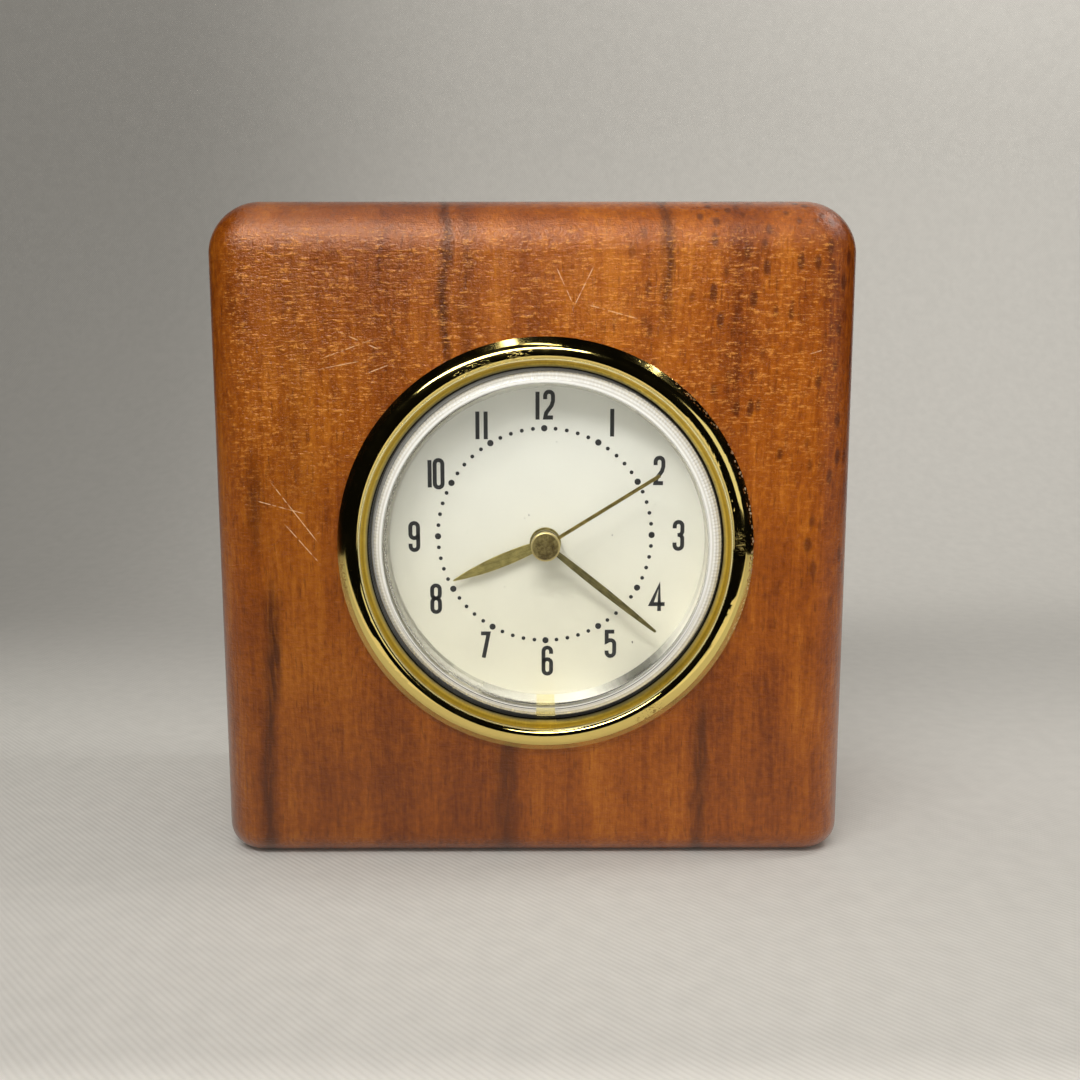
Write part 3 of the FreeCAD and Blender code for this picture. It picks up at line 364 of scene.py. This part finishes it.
figure = add(tree, "Mix", {0: pores, 6: figure, 7: tone("#552206")}, out=2, data_type="RGBA")
print("wood tree so far:", len(tree.nodes), "nodes")


# %% [markdown]
# A few dark stains run down the block where this piece of timber has them. Each is a soft upright
# line with a place, a lean, a width and two ends. Noise makes them wander and breaks them up. They
# lean a little with depth as well, so that they cross the top at a slant.

# %% Stains, each given by where it runs
def streak(at, lean, half_width, low, high, strength):
    """A mask: a soft-edged vertical stain at x = at mm, leaning by lean, between two heights."""
    shifted = add(tree, "Math", {0: height, 1: -lean, 2: side}, operation="MULTIPLY_ADD")
    return times(tree, times(tree, near_to(tree, shifted, at, half_width), strength),
                 times(tree, fade(tree, height, low, low + 8.0), fade(tree, height, high, high - 8.0)))


width_mm, inward_mm, height = add(tree, "SeparateXYZ", {0: mm}).node.outputs
ripple = stretched(tree, mm, (0.35, 0.35, 0.12), Detail=4.0, Roughness=0.6)
side = add(tree, "Math", {0: ripple, 1: 3.0, 2: width_mm}, operation="MULTIPLY_ADD")
side = add(tree, "Math", {0: side, 1: 1.5}, operation="SUBTRACT")
slant = 0.12
side = add(tree, "Math", {0: inward_mm, 1: slant, 2: side}, operation="MULTIPLY_ADD")
side = plus(tree, side, -slant * face_y / MM)
stains = any_of(tree, *[streak(*row) for row in (
    (-9.9, 0.0, 1.0, 54.0, 90.0, 1.0),
    (-7.7, 0.0, 0.9, 52.0, 90.0, 0.45),
    (-3.4, 0.0, 2.0, -9.0, 21.0, 0.90),
    (15.4, 0.0, 1.3, 61.0, 90.0, 0.90),
    (20.2, 0.0, 1.4, -9.0, 24.0, 0.95),
    (-32.3, 0.05, 1.4, -9.0, 37.0, 1.0),
    (-32.7, 0.0, 1.3, 35.0, 52.0, 0.65),
    (-28.5, 0.02, 3.0, 40.0, 90.0, 0.18))])
broken = fade(tree, stretched(tree, grain, (2.2, 2.2, 0.22), Detail=3.0), 0.30, 0.55, 0.50, 1.0)
stains = times(tree, stains, broken)
stained = add(tree, "Mix", {0: stains, 6: figure, 7: tone("#4C1B08")}, out=2, data_type="RGBA")
print("stains drawn")

# %% [markdown]
# Small soft dark flecks, under a millimetre wide and two long, lie mostly in the right half of the
# face, above its middle. They are cells of a Voronoi pattern, stretched along the grain. The colour
# is also made browner at the left than at the right, and it is darkened towards the foot as painted
# shade, where the near lamp's light falls off.

# %% Flecks, a change of tone across the face, and painted shade towards the foot
fleck_place = add(tree, "VectorMath", {0: grain, 1: (1 / 1.7, 1 / 1.7, 1 / 4.0)}, operation="MULTIPLY")
flecks = add(tree, "TexVoronoi", {"Vector": fleck_place, "Scale": 1.0}, voronoi_dimensions="3D")
flecked = times(tree, fade(tree, flecks, 0.34, 0.14, 0.0, 0.85), fade(tree, height, 22.0, 46.0, 0.25, 1.0),
                fade(tree, width_mm, 4.0, 20.0, 0.15, 1.0))
wood_colour = add(tree, "Mix", {0: flecked, 6: stained, 7: tone("#54200A")}, out=2, data_type="RGBA")
# Painted shade: the colour is darkened towards the foot. It is also made browner at the left.
left_tone_and_painted_foot_shade = times(tree, fade(tree, width_mm, -36.0, 30.0, 0.74, 1.0), fade(tree, height, 10.0, 60.0, 0.74, 1.0))
wood_colour = add(tree, "VectorMath", {0: wood_colour, "Scale": left_tone_and_painted_foot_shade}, operation="SCALE")
print("flecks drawn")


# %% [markdown]
# The varnish has seen years of dusting. Thin pale scratches lie on it, most of them left of and
# above the ring. Each is a straight hairline between two points of the front face.

# %% Scratches
def hairline(x0, z0, x1, z1, half_width=0.09):
    """A mask of one straight scratch between two points of the front face, in mm."""
    length = math.hypot(x1 - x0, z1 - z0)
    along = ((x1 - x0) / length, 0.0, (z1 - z0) / length)
    across = (along[2], 0.0, -along[0])
    from_start = add(tree, "VectorMath", {0: mm, 1: (x0, 0.0, z0)}, operation="SUBTRACT")
    run = add(tree, "VectorMath", {0: from_start, 1: along}, out=1, operation="DOT_PRODUCT")
    off = add(tree, "VectorMath", {0: from_start, 1: across}, out=1, operation="DOT_PRODUCT")
    ends = near_to(tree, run, length / 2, length / 2)
    return times(tree, near_to(tree, off, 0.0, half_width), fade(tree, ends, 0.0, 0.25))


scratches = any_of(tree, *[hairline(*ends) for ends in (
    (-24.5, 60.2, -17.8, 62.6), (-24.8, 59.0, -19.6, 60.0), (-22.8, 63.5, -17.0, 61.0),
    (-19.5, 58.4, -16.4, 59.6), (-31.0, 46.5, -25.0, 38.5), (-29.5, 41.5, -24.8, 36.0),
    (-33.0, 44.0, -26.4, 42.2), (2.6, 70.8, 5.0, 65.6), (7.2, 71.0, 4.4, 65.4),
    (6.0, 66.4, 12.5, 64.6), (31.5, 60.6, 33.5, 61.2))])
on_front = fade(tree, inward_mm, -18.0, -19.0)
broken = fade(tree, stretched(tree, mm, (1.2, 1.2, 1.2), Detail=3.0), 0.36, 0.56, 0.0, 0.85)
scratches = times(tree, scratches, on_front, broken)
wood_colour = add(tree, "Mix", {0: scratches, 6: wood_colour, 7: tone("#F2C896")}, out=2, data_type="RGBA")
print("scratches drawn")

# %% [markdown]
# Under the varnish the block was sanded across the grain. The marks are finer than a tenth of a
# millimetre, so they are drawn a quarter of a millimetre apart. They tilt the varnish a little. In
# the upper half, where the light rakes them, the dashes are also coloured pale gold: a painted
# highlight for their glitter.

# %% Sanding marks, with a painted glitter
sanding = stretched(tree, mm, (0.65, 0.65, 4.2), Detail=3.0, Roughness=0.8)
grit = add(tree, "TexNoise", {"Vector": mm, "Scale": 2.6, "Detail": 3.0, "Roughness": 0.7})
lit = times(tree, fade(tree, height, 34.0, 62.0), on_front)
dashes = times(tree, fade(tree, sanding, 0.52, 0.60), fade(tree, grit, 0.44, 0.58, 0.10, 1.0))
# Painted highlight: in the lit upper half the sanding dashes are coloured pale gold.
painted_glitter = times(tree, dashes, lit, 0.50)
wood_colour = add(tree, "Mix", {0: painted_glitter, 6: wood_colour, 7: tone("#FFAE50")}, out=2, data_type="RGBA")
tree.links.new(wood_colour, into["Base Color"])
rough = add(tree, "Math", {0: sanding, 1: 0.8, 2: grit}, operation="MULTIPLY_ADD")
rough = plus(tree, rough, times(tree, fibres, 0.5))
bumped = add(tree, "Bump", {"Height": rough, "Strength": 0.8, "Distance": 0.0001})
tree.links.new(bumped, into["Coat Normal"])
tree.links.new(bumped, into["Normal"])
wear_it("wood_block", wood)

# %% [markdown]
# ## Gold plate
# The bezel is pressed brass with a thin bright gold plating: a mirror tinted yellow. What it shows
# is its surroundings, so its base colour is pale and its roughness close to nothing. Its inner
# slope is rolled with fine radial ticks, 0.37 mm apart. Two bright lines on either side of it are
# painted highlights, and the near-black band on its lip next to the crystal is painted shade of
# the gap there. Small chips along the right rim are real wear, and their near-white colour is a
# painted glint. A few places are scuffed dark.

# %% Gold plate, its ticks, painted highlight lines and painted gap shade
plate, tree, into = surface("gold_plated_brass", Metallic=1.0)
mm = in_mm(tree)
distance, turn = about_axis(tree, mm)
on_slope = fade(tree, distance, 21.9, 21.6)
tick_count = 370
ticks = times(tree, ripples(tree, turn, math.radians(tick_count)), on_slope)
from_lip = add(tree, "MapRange", {0: distance, 1: 20.9, 2: 22.1})
# Painted shade and painted highlights: a near-black band at the lip and two bright lines by the slope.
gold_with_painted_shade_and_highlights = add(tree, "ValToRGB", {0: from_lip},
             stops=[(0.0, "#24231D"), (0.10, "#24231D"), (0.17, "#F2E2A4"), (0.36, "#FFE468"),
                    (0.46, "#CDAA3A"), (0.64, "#DCBA48"), (0.72, "#FFF6C0"), (0.88, "#F3DB84")])
print("ticks round the slope:", tick_count)

# %% Chips with painted glints, scuffs and wear of the plate
pit_cells = add(tree, "TexVoronoi", {"Vector": mm, "Scale": 2.4}, voronoi_dimensions="3D")
ragged = fade(tree, add(tree, "TexNoise", {"Vector": mm, "Scale": 0.9, "Detail": 3.0}), 0.42, 0.50)
rim_right = times(tree, near_to(tree, turn, 75.0, 62.0), fade(tree, distance, 23.9, 24.15))
chips_and_painted_glints = times(tree, times(tree, fade(tree, pit_cells, 0.42, 0.32), ragged), rim_right)
rub = fade(tree, stretched(tree, mm, (1.5, 1.5, 6.0), Detail=4.0, Roughness=0.8), 0.55, 0.62)
marks = any_of(tree, *[
    times(tree, near_to(tree, turn, at, spread), near_to(tree, distance, middle, reach), rub, strength)
    for at, spread, middle, reach, strength in (
        (-7.5, 5.0, 22.3, 0.9, 0.8), (-22.0, 9.0, 22.2, 0.8, 0.6), (88.0, 5.0, 22.6, 0.8, 0.7),
        (148.0, 7.0, 23.2, 1.0, 0.8), (-100.0, 8.0, 23.9, 0.5, 0.5))])
gold = add(tree, "Mix", {0: marks, 6: gold_with_painted_shade_and_highlights, 7: tone("#5B4520")}, out=2, data_type="RGBA")
# Painted glint: the chips on the rim are coloured near-white.
gold = add(tree, "Mix", {0: chips_and_painted_glints, 6: gold, 7: tone("#FFF8DC")}, out=2, data_type="RGBA")
tree.links.new(gold, into["Base Color"])
smear = fade(tree, stretched(tree, mm, (0.25, 0.25, 0.25), Detail=4.0), 0.35, 0.7, 0.05, 0.12)
dullness = plus(tree, smear, times(tree, marks, 0.4),
                any_of(tree, times(tree, chips_and_painted_glints, 0.5), times(tree, on_slope, 0.30)))
tree.links.new(dullness, into["Roughness"])
relief = plus(tree, times(tree, ticks, 0.012), times(tree, any_of(tree, marks, chips_and_painted_glints), -0.03))
bumped = add(tree, "Bump", {"Height": relief, "Strength": 1.0, "Distance": MM})
tree.links.new(bumped, into["Normal"])
wear_it("bezel", plate)

# %% [markdown]
# ## The crystal
# A clear moulded acrylic cup. Its flat window is polished. Its wall has fine moulding ribs that
# scatter the light, so the wall looks milky, with faint rings and a faint comb in it, each with a
# pitch of 0.4 mm. Two dark lines round the lower half, where the wall meets the ring and where it
# meets the dial, are painted shade of the gaps there, and a small key of bare plastic breaks them
# at the bottom. In life the cup lets light reach the dial. Here its own shadow is switched off, so
# that light does the same without extra bounces, and the hands still cast theirs.

# %% Clear acrylic
clear, tree, into = surface("moulded_clear_acrylic", Roughness=0.02, IOR=1.49)
mm = in_mm(tree)
distance, turn = about_axis(tree, mm)
wall = fade(tree, distance, 19.0, 19.35)
off_top = add(tree, "Math", {0: turn}, operation="ABSOLUTE")
low_half = fade(tree, near_to(tree, off_top, 180.0, 95.0), 0.0, 0.6)
off_key = fade(tree, off_top, 177.0, 176.4)
on_key = times(tree, fade(tree, off_key, 1.0, 0.0), wall)
# Painted shade: dark lines at the gaps round the lower half of the wall.
painted_gap_shade = any_of(tree, near_to(tree, distance, 20.55, 0.18), near_to(tree, distance, 19.40, 0.10))
painted_gap_shade = times(tree, painted_gap_shade, low_half, off_key)
rings = fade(tree, ripples(tree, distance, 15.0), -0.9, 0.6)
milky = add(tree, "Mix", {0: rings, 6: tone("#E2DED2"), 7: tone("#FAF8F1")}, out=2, data_type="RGBA")
tinted = add(tree, "Mix", {0: wall, 6: tone("#FBFBF6"), 7: milky}, out=2, data_type="RGBA")
tinted = add(tree, "Mix", {0: on_key, 6: tinted, 7: tone("#EFE2A6")}, out=2, data_type="RGBA")
tinted = add(tree, "Mix", {0: painted_gap_shade, 6: tinted, 7: tone("#1C1C1A")}, out=2, data_type="RGBA")
tree.links.new(tinted, into["Base Color"])
seen_through = times(tree, fade(tree, wall, 0.0, 1.0, 1.0, 0.08), fade(tree, painted_gap_shade, 0.0, 1.0, 1.0, 0.0))
tree.links.new(seen_through, into["Transmission Weight"])
rib_count = 300
comb = times(tree, ripples(tree, turn, math.radians(rib_count)), fade(tree, distance, 19.6, 19.8))
flow_marks = times(tree, add(tree, "TexNoise", {"Vector": mm, "Scale": 0.12, "Detail": 1.0}), 0.01)
ribbed = add(tree, "Math", {0: comb, 1: 0.02, 2: flow_marks}, operation="MULTIPLY_ADD")
bumped = add(tree, "Bump", {"Height": ribbed, "Strength": 1.0, "Distance": MM})
tree.links.new(bumped, into["Normal"])
wear_it("crystal", clear)
nodes["crystal"].visible_shadow = False

# %% [markdown]
# ## The dial
# A metal disc with a satin off-white print. Its white is a little warmer and darker towards the bottom.

# %% Dial white
paper, tree, into = surface("screen_printed_dial_white", Roughness=0.5)
mm = in_mm(tree)
warmer_towards_bottom = fade(tree, add(tree, "SeparateXYZ", {0: mm}).node.outputs[2], 58.0, 20.0)
white = add(tree, "Mix", {0: warmer_towards_bottom, 6: tone("#E8E8E2"), 7: tone("#DCD8C6")}, out=2, data_type="RGBA")
blotch = fade(tree, add(tree, "TexNoise", {"Vector": mm, "Scale": 0.2, "Detail": 5.0}), 0.3, 0.7, 0.97, 1.0)
white = add(tree, "VectorMath", {0: white, "Scale": blotch}, operation="SCALE")
tree.links.new(white, into["Base Color"])
orange_peel = add(tree, "TexNoise", {"Vector": mm, "Scale": 3.0, "Detail": 2.0})
bumped = add(tree, "Bump", {"Height": orange_peel, "Strength": 0.2, "Distance": 0.00002})
tree.links.new(bumped, into["Normal"])
wear_it("dial", paper)

# %% [markdown]
# ## The print
# Upright, condensed numerals stand outside a ring of sixty dots. They are drawn the way a sign
# writer does: each numeral is a few strokes of even width along a centre line, with mitred corners.
# The strokes lie as a very thin layer of ink on the dial. The print sits 0.8 mm high of the
# hands' axis, as it does on the real dial.

# %% Centre lines of the numerals
w, h = 0.46, 1.625    # half the width and half the height of a centre line, in mm
stroke_width = 0.48   # of the ink, in mm


def bend(centre, radius, start, end, steps=8):
    """Points round a centre, with angles in degrees counted from the right towards the top."""
    turns = [math.radians(start + (end - start) * i / steps) for i in range(steps + 1)]
    return [(centre[0] + radius * math.cos(t), centre[1] + radius * math.sin(t)) for t in turns]


top, foot = (0.0, h - w), (0.0, w - h)
six = [(w, 0.85)] + bend(top, w, 0, 180) + bend(foot, w, 180, 360) + bend((0.0, -0.28), w, 0, 180)
strokes = {
    "0": [(bend(top, w, 0, 180) + bend(foot, w, 180, 360), True)],
    "1": [([(0.0, -h), (0.0, h)], False)],
    "2": [([(-w, 0.75)] + bend(top, w, 180, 0)
           + [(w, 0.55), (0.30, 0.02), (-0.34, -0.85), (-w, 0.24 - h), (w, 0.24 - h)], False)],
    "3": [([(-w, 0.85)] + bend(top, w, 180, 0) + [(w, 0.42), (0.28, 0.08), (-0.12, 0.05)], False),
          ([(0.28, 0.02), (w, -0.30)] + bend(foot, w, 0, -180) + [(-w, -0.85)], False)],
    "4": [([(0.19, -h), (0.19, h - 0.1), (-0.80, -0.78), (0.86, -0.78)], False)],
    "5": [([(w, h - 0.24), (-w, h - 0.24), (-w, 0.15), (-0.1, 0.34)] + bend((0.0, -0.12), w, 70, 0)
           + bend(foot, w, 0, -180) + [(-w, -0.95)], False)],
    "6": [(six, False)],
    "7": [([(-w, h - 0.24), (w, h - 0.24), (-0.16, -h)], False)],
    "8": [(bend(top, w, 0, 180) + bend((0.0, 0.05 + w), w, 180, 360), True),
          (bend((0.0, 0.05 - w), w, 0, 180) + bend(foot, w, 180, 360), True)],
    "9": [([(-x, -z) for x, z in six], False)],
}
print("numerals drawn:", len(strokes))

# %% Where the print lies on the dial
print_right, print_up, print_scale = -0.05, 0.76, 1.025
ink_y = dial_y - 0.02 * MM


def on_print(x, z):
    """A point of the print, in mm from its own centre, as a point in space."""
    return on_insert(x * print_scale + print_right, z * print_scale + print_up, ink_y)


def printed(name, ink, material):
    """Turns a drawn mesh into a piece that rides with the insert."""
    mesh = bpy.data.meshes.new(name)
    ink.to_mesh(mesh)
    ink.free()
    mesh.materials.append(material)
    piece = bpy.data.objects.new(name, mesh)
    bpy.context.scene.collection.objects.link(piece)
    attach(piece, "insert")
    print(name, len(mesh.polygons), "faces")


print("ink above the dial, mm:", round((dial_y - ink_y) / MM, 3))


# %% A stroke of ink
def lay_stroke(ink, points, closed, at):
    """Adds one stroke of even width to a mesh, with its corners mitred."""
    count, sides = len(points), []
    for i, (x, z) in enumerate(points):
        before = points[i - 1] if i or closed else points[0]
        after = points[(i + 1) % count] if i + 1 < count or closed else points[-1]
        steps = [Vector((b[0] - a[0], b[1] - a[1])) for a, b in ((before, (x, z)), ((x, z), after))]
        steps = [step.normalized() for step in steps if step.length > 1e-6]
        ahead_2d = sum(steps, Vector((0.0, 0.0))).normalized()
        reach = stroke_width / 2 / max(0.5, ahead_2d.dot(steps[0]))
        out = Vector((-ahead_2d.y, ahead_2d.x)) * reach
        sides.append([ink.verts.new(on_print(x + s * out.x + at[0], z + s * out.y + at[1])) for s in (1, -1)])
    for i in range(count if closed else count - 1):
        (a, b), (c, d) = sides[i], sides[(i + 1) % count]
        ink.faces.new((a, b, d, c))


# %% [markdown]
# The ink is a dense black, screen printed and nearly matt. It is a little thin in places, where
# the white shows through as dark grey.

# %% Black ink and the numerals
black, tree, into = surface("screen_printed_black_ink", Roughness=0.45)
mm = in_mm(tree)
thin_ink = fade(tree, add(tree, "TexNoise", {"Vector": mm, "Scale": 2.5, "Detail": 4.0}), 0.60, 0.80, 0.0, 0.35)
inked = add(tree, "Mix", {0: thin_ink, 6: tone("#1B1C1E"), 7: tone("#5A5953")}, out=2, data_type="RGBA")
tree.links.new(inked, into["Base Color"])

numerals = bmesh.new()
pair_places = {"10": (-0.76, 0.30), "11": (-0.485, 0.485), "12": (-0.91, 0.45)}
for text, right_mm, up_mm in (
        ("12", 0.05, 15.4), ("1", 7.94, 13.4), ("2", 13.58, 7.65), ("3", 15.97, 0.0),
        ("4", 13.58, -7.56), ("5", 7.94, -13.1), ("6", 0.29, -15.3), ("7", -7.27, -13.3),
        ("8", -13.1, -7.65), ("9", -15.6, -0.1), ("10", -12.9, 7.4), ("11", -7.46, 13.1)):
    for figure_name, shift in zip(text, pair_places.get(text, (0.0,))):
        for points, closed in strokes[figure_name]:
            lay_stroke(numerals, points, closed, (right_mm + shift, up_mm))
printed("dial_numerals", numerals, black)

# %% Ring of dots
dots = bmesh.new()
ring_mm, hour_dot, minute_dot, corners = 12.76, 0.39, 0.24, 16
for minute in range(60):
    turn_to = math.radians(6 * minute - 0.3)
    middle = (ring_mm * math.sin(turn_to) * print_scale + print_right,
              ring_mm * math.cos(turn_to) * print_scale + print_up)
    radius = hour_dot if minute % 5 == 0 else minute_dot
    rim = [(middle[0] + radius * math.cos(k * math.tau / corners),
            middle[1] + radius * math.sin(k * math.tau / corners)) for k in range(corners)]
    dots.faces.new([dots.verts.new(on_insert(*point, ink_y)) for point in rim])
printed("dial_dots", dots, black)

# %% [markdown]
# A few grains of dust have found their way under the crystal and lie on the dial. They are flat,
# ragged and matt grey.

# %% Dust
random.seed(4)
grains = bmesh.new()
for right_mm, up_mm, size in (
        (-2.0, 3.3, 0.16), (-2.5, 2.9, 0.10), (8.2, 0.8, 0.12), (10.8, -12.6, 0.20), (1.4, 12.2, 0.10),
        (-5.0, -5.6, 0.09), (3.6, 5.1, 0.08), (13.4, 4.6, 0.08), (-9.5, 1.2, 0.08)):
    rim = []
    for k in range(7):
        reach = size * random.uniform(0.5, 1.0)
        turn_to = k * math.tau / 7
        rim.append((right_mm + 0.6 * reach * math.cos(turn_to), up_mm + reach * math.sin(turn_to)))
    grains.faces.new([grains.verts.new(on_insert(*point, ink_y)) for point in rim])
dust, tree, into = surface("grey_dust", Roughness=0.9)
fuzz = add(tree, "TexNoise", {"Vector": in_mm(tree), "Scale": 9.0})
tree.links.new(add(tree, "ValToRGB", {0: fuzz}, stops=[(0.3, "#3E3C38"), (0.7, "#77736A")]), into["Base Color"])
printed("dial_dust", grains, dust)

# %% [markdown]
# ## The hands
# The hands are thin stamped brass, brushed along their length and dulled by age. Each is given its
# own tone: the hour hand khaki-gold, the minute hand olive, the second hand the brightest. The
# brushing is noise drawn out along the hand, whose direction is known from its clock angle.

# %% Brushed brass
def brushed(name, light, dark, angle):
    """Brass with brush lines along a clock angle."""
    made, tree, into = surface(name, Metallic=1.0)
    mm = in_mm(tree)
    x, z = math.sin(math.radians(angle)), math.cos(math.radians(angle))
    along = add(tree, "VectorMath", {0: mm, 1: (x, 0.0, z)}, out=1, operation="DOT_PRODUCT")
    across = add(tree, "VectorMath", {0: mm, 1: (z, 0.0, -x)}, out=1, operation="DOT_PRODUCT")
    laid = add(tree, "CombineXYZ", {0: along, 1: across})
    lines = stretched(tree, laid, (0.6, 7.0, 1.0), Detail=4.0, Roughness=0.7)
    spots = add(tree, "TexNoise", {"Vector": mm, "Scale": 1.4, "Detail": 4.0})
    tarnish = plus(tree, times(tree, lines, 0.6), times(tree, spots, 0.4))
    colour = add(tree, "ValToRGB", {0: tarnish}, stops=[(0.38, dark), (0.60, light)])
    tree.links.new(colour, into["Base Color"])
    tree.links.new(fade(tree, spots, 0.3, 0.7, 0.28, 0.45), into["Roughness"])
    tree.links.new(add(tree, "Bump", {"Height": lines, "Strength": 0.5, "Distance": 0.00002}), into["Normal"])
    return made


wear_it("hour_hand", brushed("khaki_brass", "#D2C27A", "#9C9052", 247.5))
wear_it("minute_hand", brushed("olive_brass", "#9C915C", "#635C38", 128.7))
wear_it("second_hand", brushed("thin_brass", "#B5A055", "#7A6B35", 58.3))

# %% [markdown]
# The cap over the second hand's hub is turned brass. Its face has gone brown in patches, and a
# bright ring round its edge is a painted highlight. Faint rings from the lathe run round it,
# 0.24 mm apart.

# %% Cap
cap, tree, into = surface("browned_turned_brass", Metallic=1.0)
mm = in_mm(tree)
distance = about_axis(tree, mm)[0]
patches = add(tree, "TexNoise", {"Vector": mm, "Scale": 1.6, "Detail": 5.0, "Roughness": 0.65})
browned = add(tree, "ValToRGB", {0: patches}, stops=[(0.36, "#64542F"), (0.50, "#8A7845"), (0.66, "#B5A468")])
# Painted highlight: a bright ring round the cap's edge.
edge = fade(tree, distance, 1.45, 1.62)
painted_edge_highlight = add(tree, "Mix", {0: edge, 6: browned, 7: tone("#D8C68A")}, out=2, data_type="RGBA")
tree.links.new(painted_edge_highlight, into["Base Color"])
tree.links.new(fade(tree, patches, 0.3, 0.7, 0.42, 0.30), into["Roughness"])
turned = add(tree, "Bump", {"Height": ripples(tree, distance, 26.0), "Strength": 0.15, "Distance": 0.00002})
tree.links.new(turned, into["Normal"])
wear_it("second_hand_cap", cap)

# %% [markdown]
# ## Inside the insert
# The rest is only seen when the insert is pulled out or opened, but each piece still gets its real
# substance: moulded plastics, turned and stamped metals, enamelled wire. They share one recipe, a
# fine mottling of colour and roughness with a little relief, whose grain size, stretch and tones
# come from a table. Each row is one real material and process, with what it gives the eye.

# %% One recipe for many substances
def mottled(name, light, dark, grain_mm, relief_mm, stretch, rough, **values):
    """A surface whose colour, roughness and relief follow one noise of a given grain size."""
    made, tree, into = surface(name, **values)
    scale = tuple(s / grain_mm for s in stretch)
    noise = stretched(tree, in_mm(tree), scale, Detail=5.0, Roughness=0.6)
    tree.links.new(add(tree, "ValToRGB", {0: noise}, stops=[(0.35, dark), (0.65, light)]), into["Base Color"])
    tree.links.new(fade(tree, noise, 0.3, 0.7, rough - 0.06, rough + 0.06), into["Roughness"])
    bumped = add(tree, "Bump", {"Height": noise, "Strength": 0.6, "Distance": relief_mm * MM})
    tree.links.new(bumped, into["Normal"])
    return made


even, turned_y, lengthwise = (1.0, 1.0, 1.0), (1.0, 6.0, 1.0), (6.0, 6.0, 0.5)
finishes = {
    # Spark-eroded mould: dark and evenly grained, with a soft sheen.
    "case_plastic": mottled("moulded_black_abs", "#2E2E30", "#232325", 0.35, 0.02, even, 0.45, IOR=1.52),
    # Acetal is waxy, and a little light wanders inside it.
    "plate_plastic": mottled("moulded_grey_acetal", "#B9B8B2", "#AAA9A2", 0.6, 0.01, even, 0.42,
                             IOR=1.48, Subsurface_Weight=0.1),
    "gear_plastic": mottled("moulded_white_acetal", "#E9E7DF", "#DCDAD0", 0.5, 0.006, even, 0.35,
                            IOR=1.48, Subsurface_Weight=0.15),
    # Rubber takes almost all gloss away.
    "soft_rubber": mottled("black_elastomer", "#1E1E1F", "#161617", 0.5, 0.02, even, 0.7, IOR=1.52),
    # Metals: a cool bright plating, a grey punched sheet with its rolling lines, a warm turned brass.
    "screw_steel": mottled("zinc_plated_steel", "#C9CCCF", "#9EA2A6", 0.4, 0.006, turned_y, 0.3, Metallic=1.0),
    "soft_iron": mottled("punched_soft_iron", "#8E9092", "#6B6D70", 0.5, 0.01, lengthwise, 0.42, Metallic=1.0),
    "bush_brass": mottled("turned_brass", "#DCC27A", "#B89B52", 0.3, 0.006, turned_y, 0.25, Metallic=1.0),
    # Brown board with the fibres of its paper, and a smooth glossy drop of resin on it.
    "board_laminate": mottled("paper_laminate_board", "#A9793C", "#8F6430", 1.2, 0.005, (1.0, 4.0, 1.0), 0.45,
                              IOR=1.55),
    "chip_epoxy": mottled("poured_black_epoxy", "#1C1B1C", "#131213", 1.5, 0.02, even, 0.22, IOR=1.55),
    # Nickel is warmer than zinc and nearly a mirror.
    "can_steel": mottled("nickel_plated_steel", "#D3D1CA", "#B5B3AC", 0.8, 0.004, (3.0, 0.6, 3.0), 0.22,
                         Metallic=1.0),
    # Copper wire under clear enamel: fine ridges across the coil, with a glaze.
    "coil_copper": mottled("enamelled_copper_wire", "#B4572A", "#8C3E1C", 0.25, 0.03, (0.6, 0.6, 4.0), 0.32,
                           Metallic=1.0, Coat_Weight=0.5),
    # Pressed powder: dark, dull and grainy.
    "magnet_alloy": mottled("sintered_magnet", "#5B5A58", "#444341", 0.2, 0.01, even, 0.5, Metallic=1.0),
}
for part in frame["record"]["subparts"]:
    if part["material_slot"] in finishes:
        wear_it(part["node"], finishes[part["material_slot"]])

# %% [markdown]

print("finishes set")
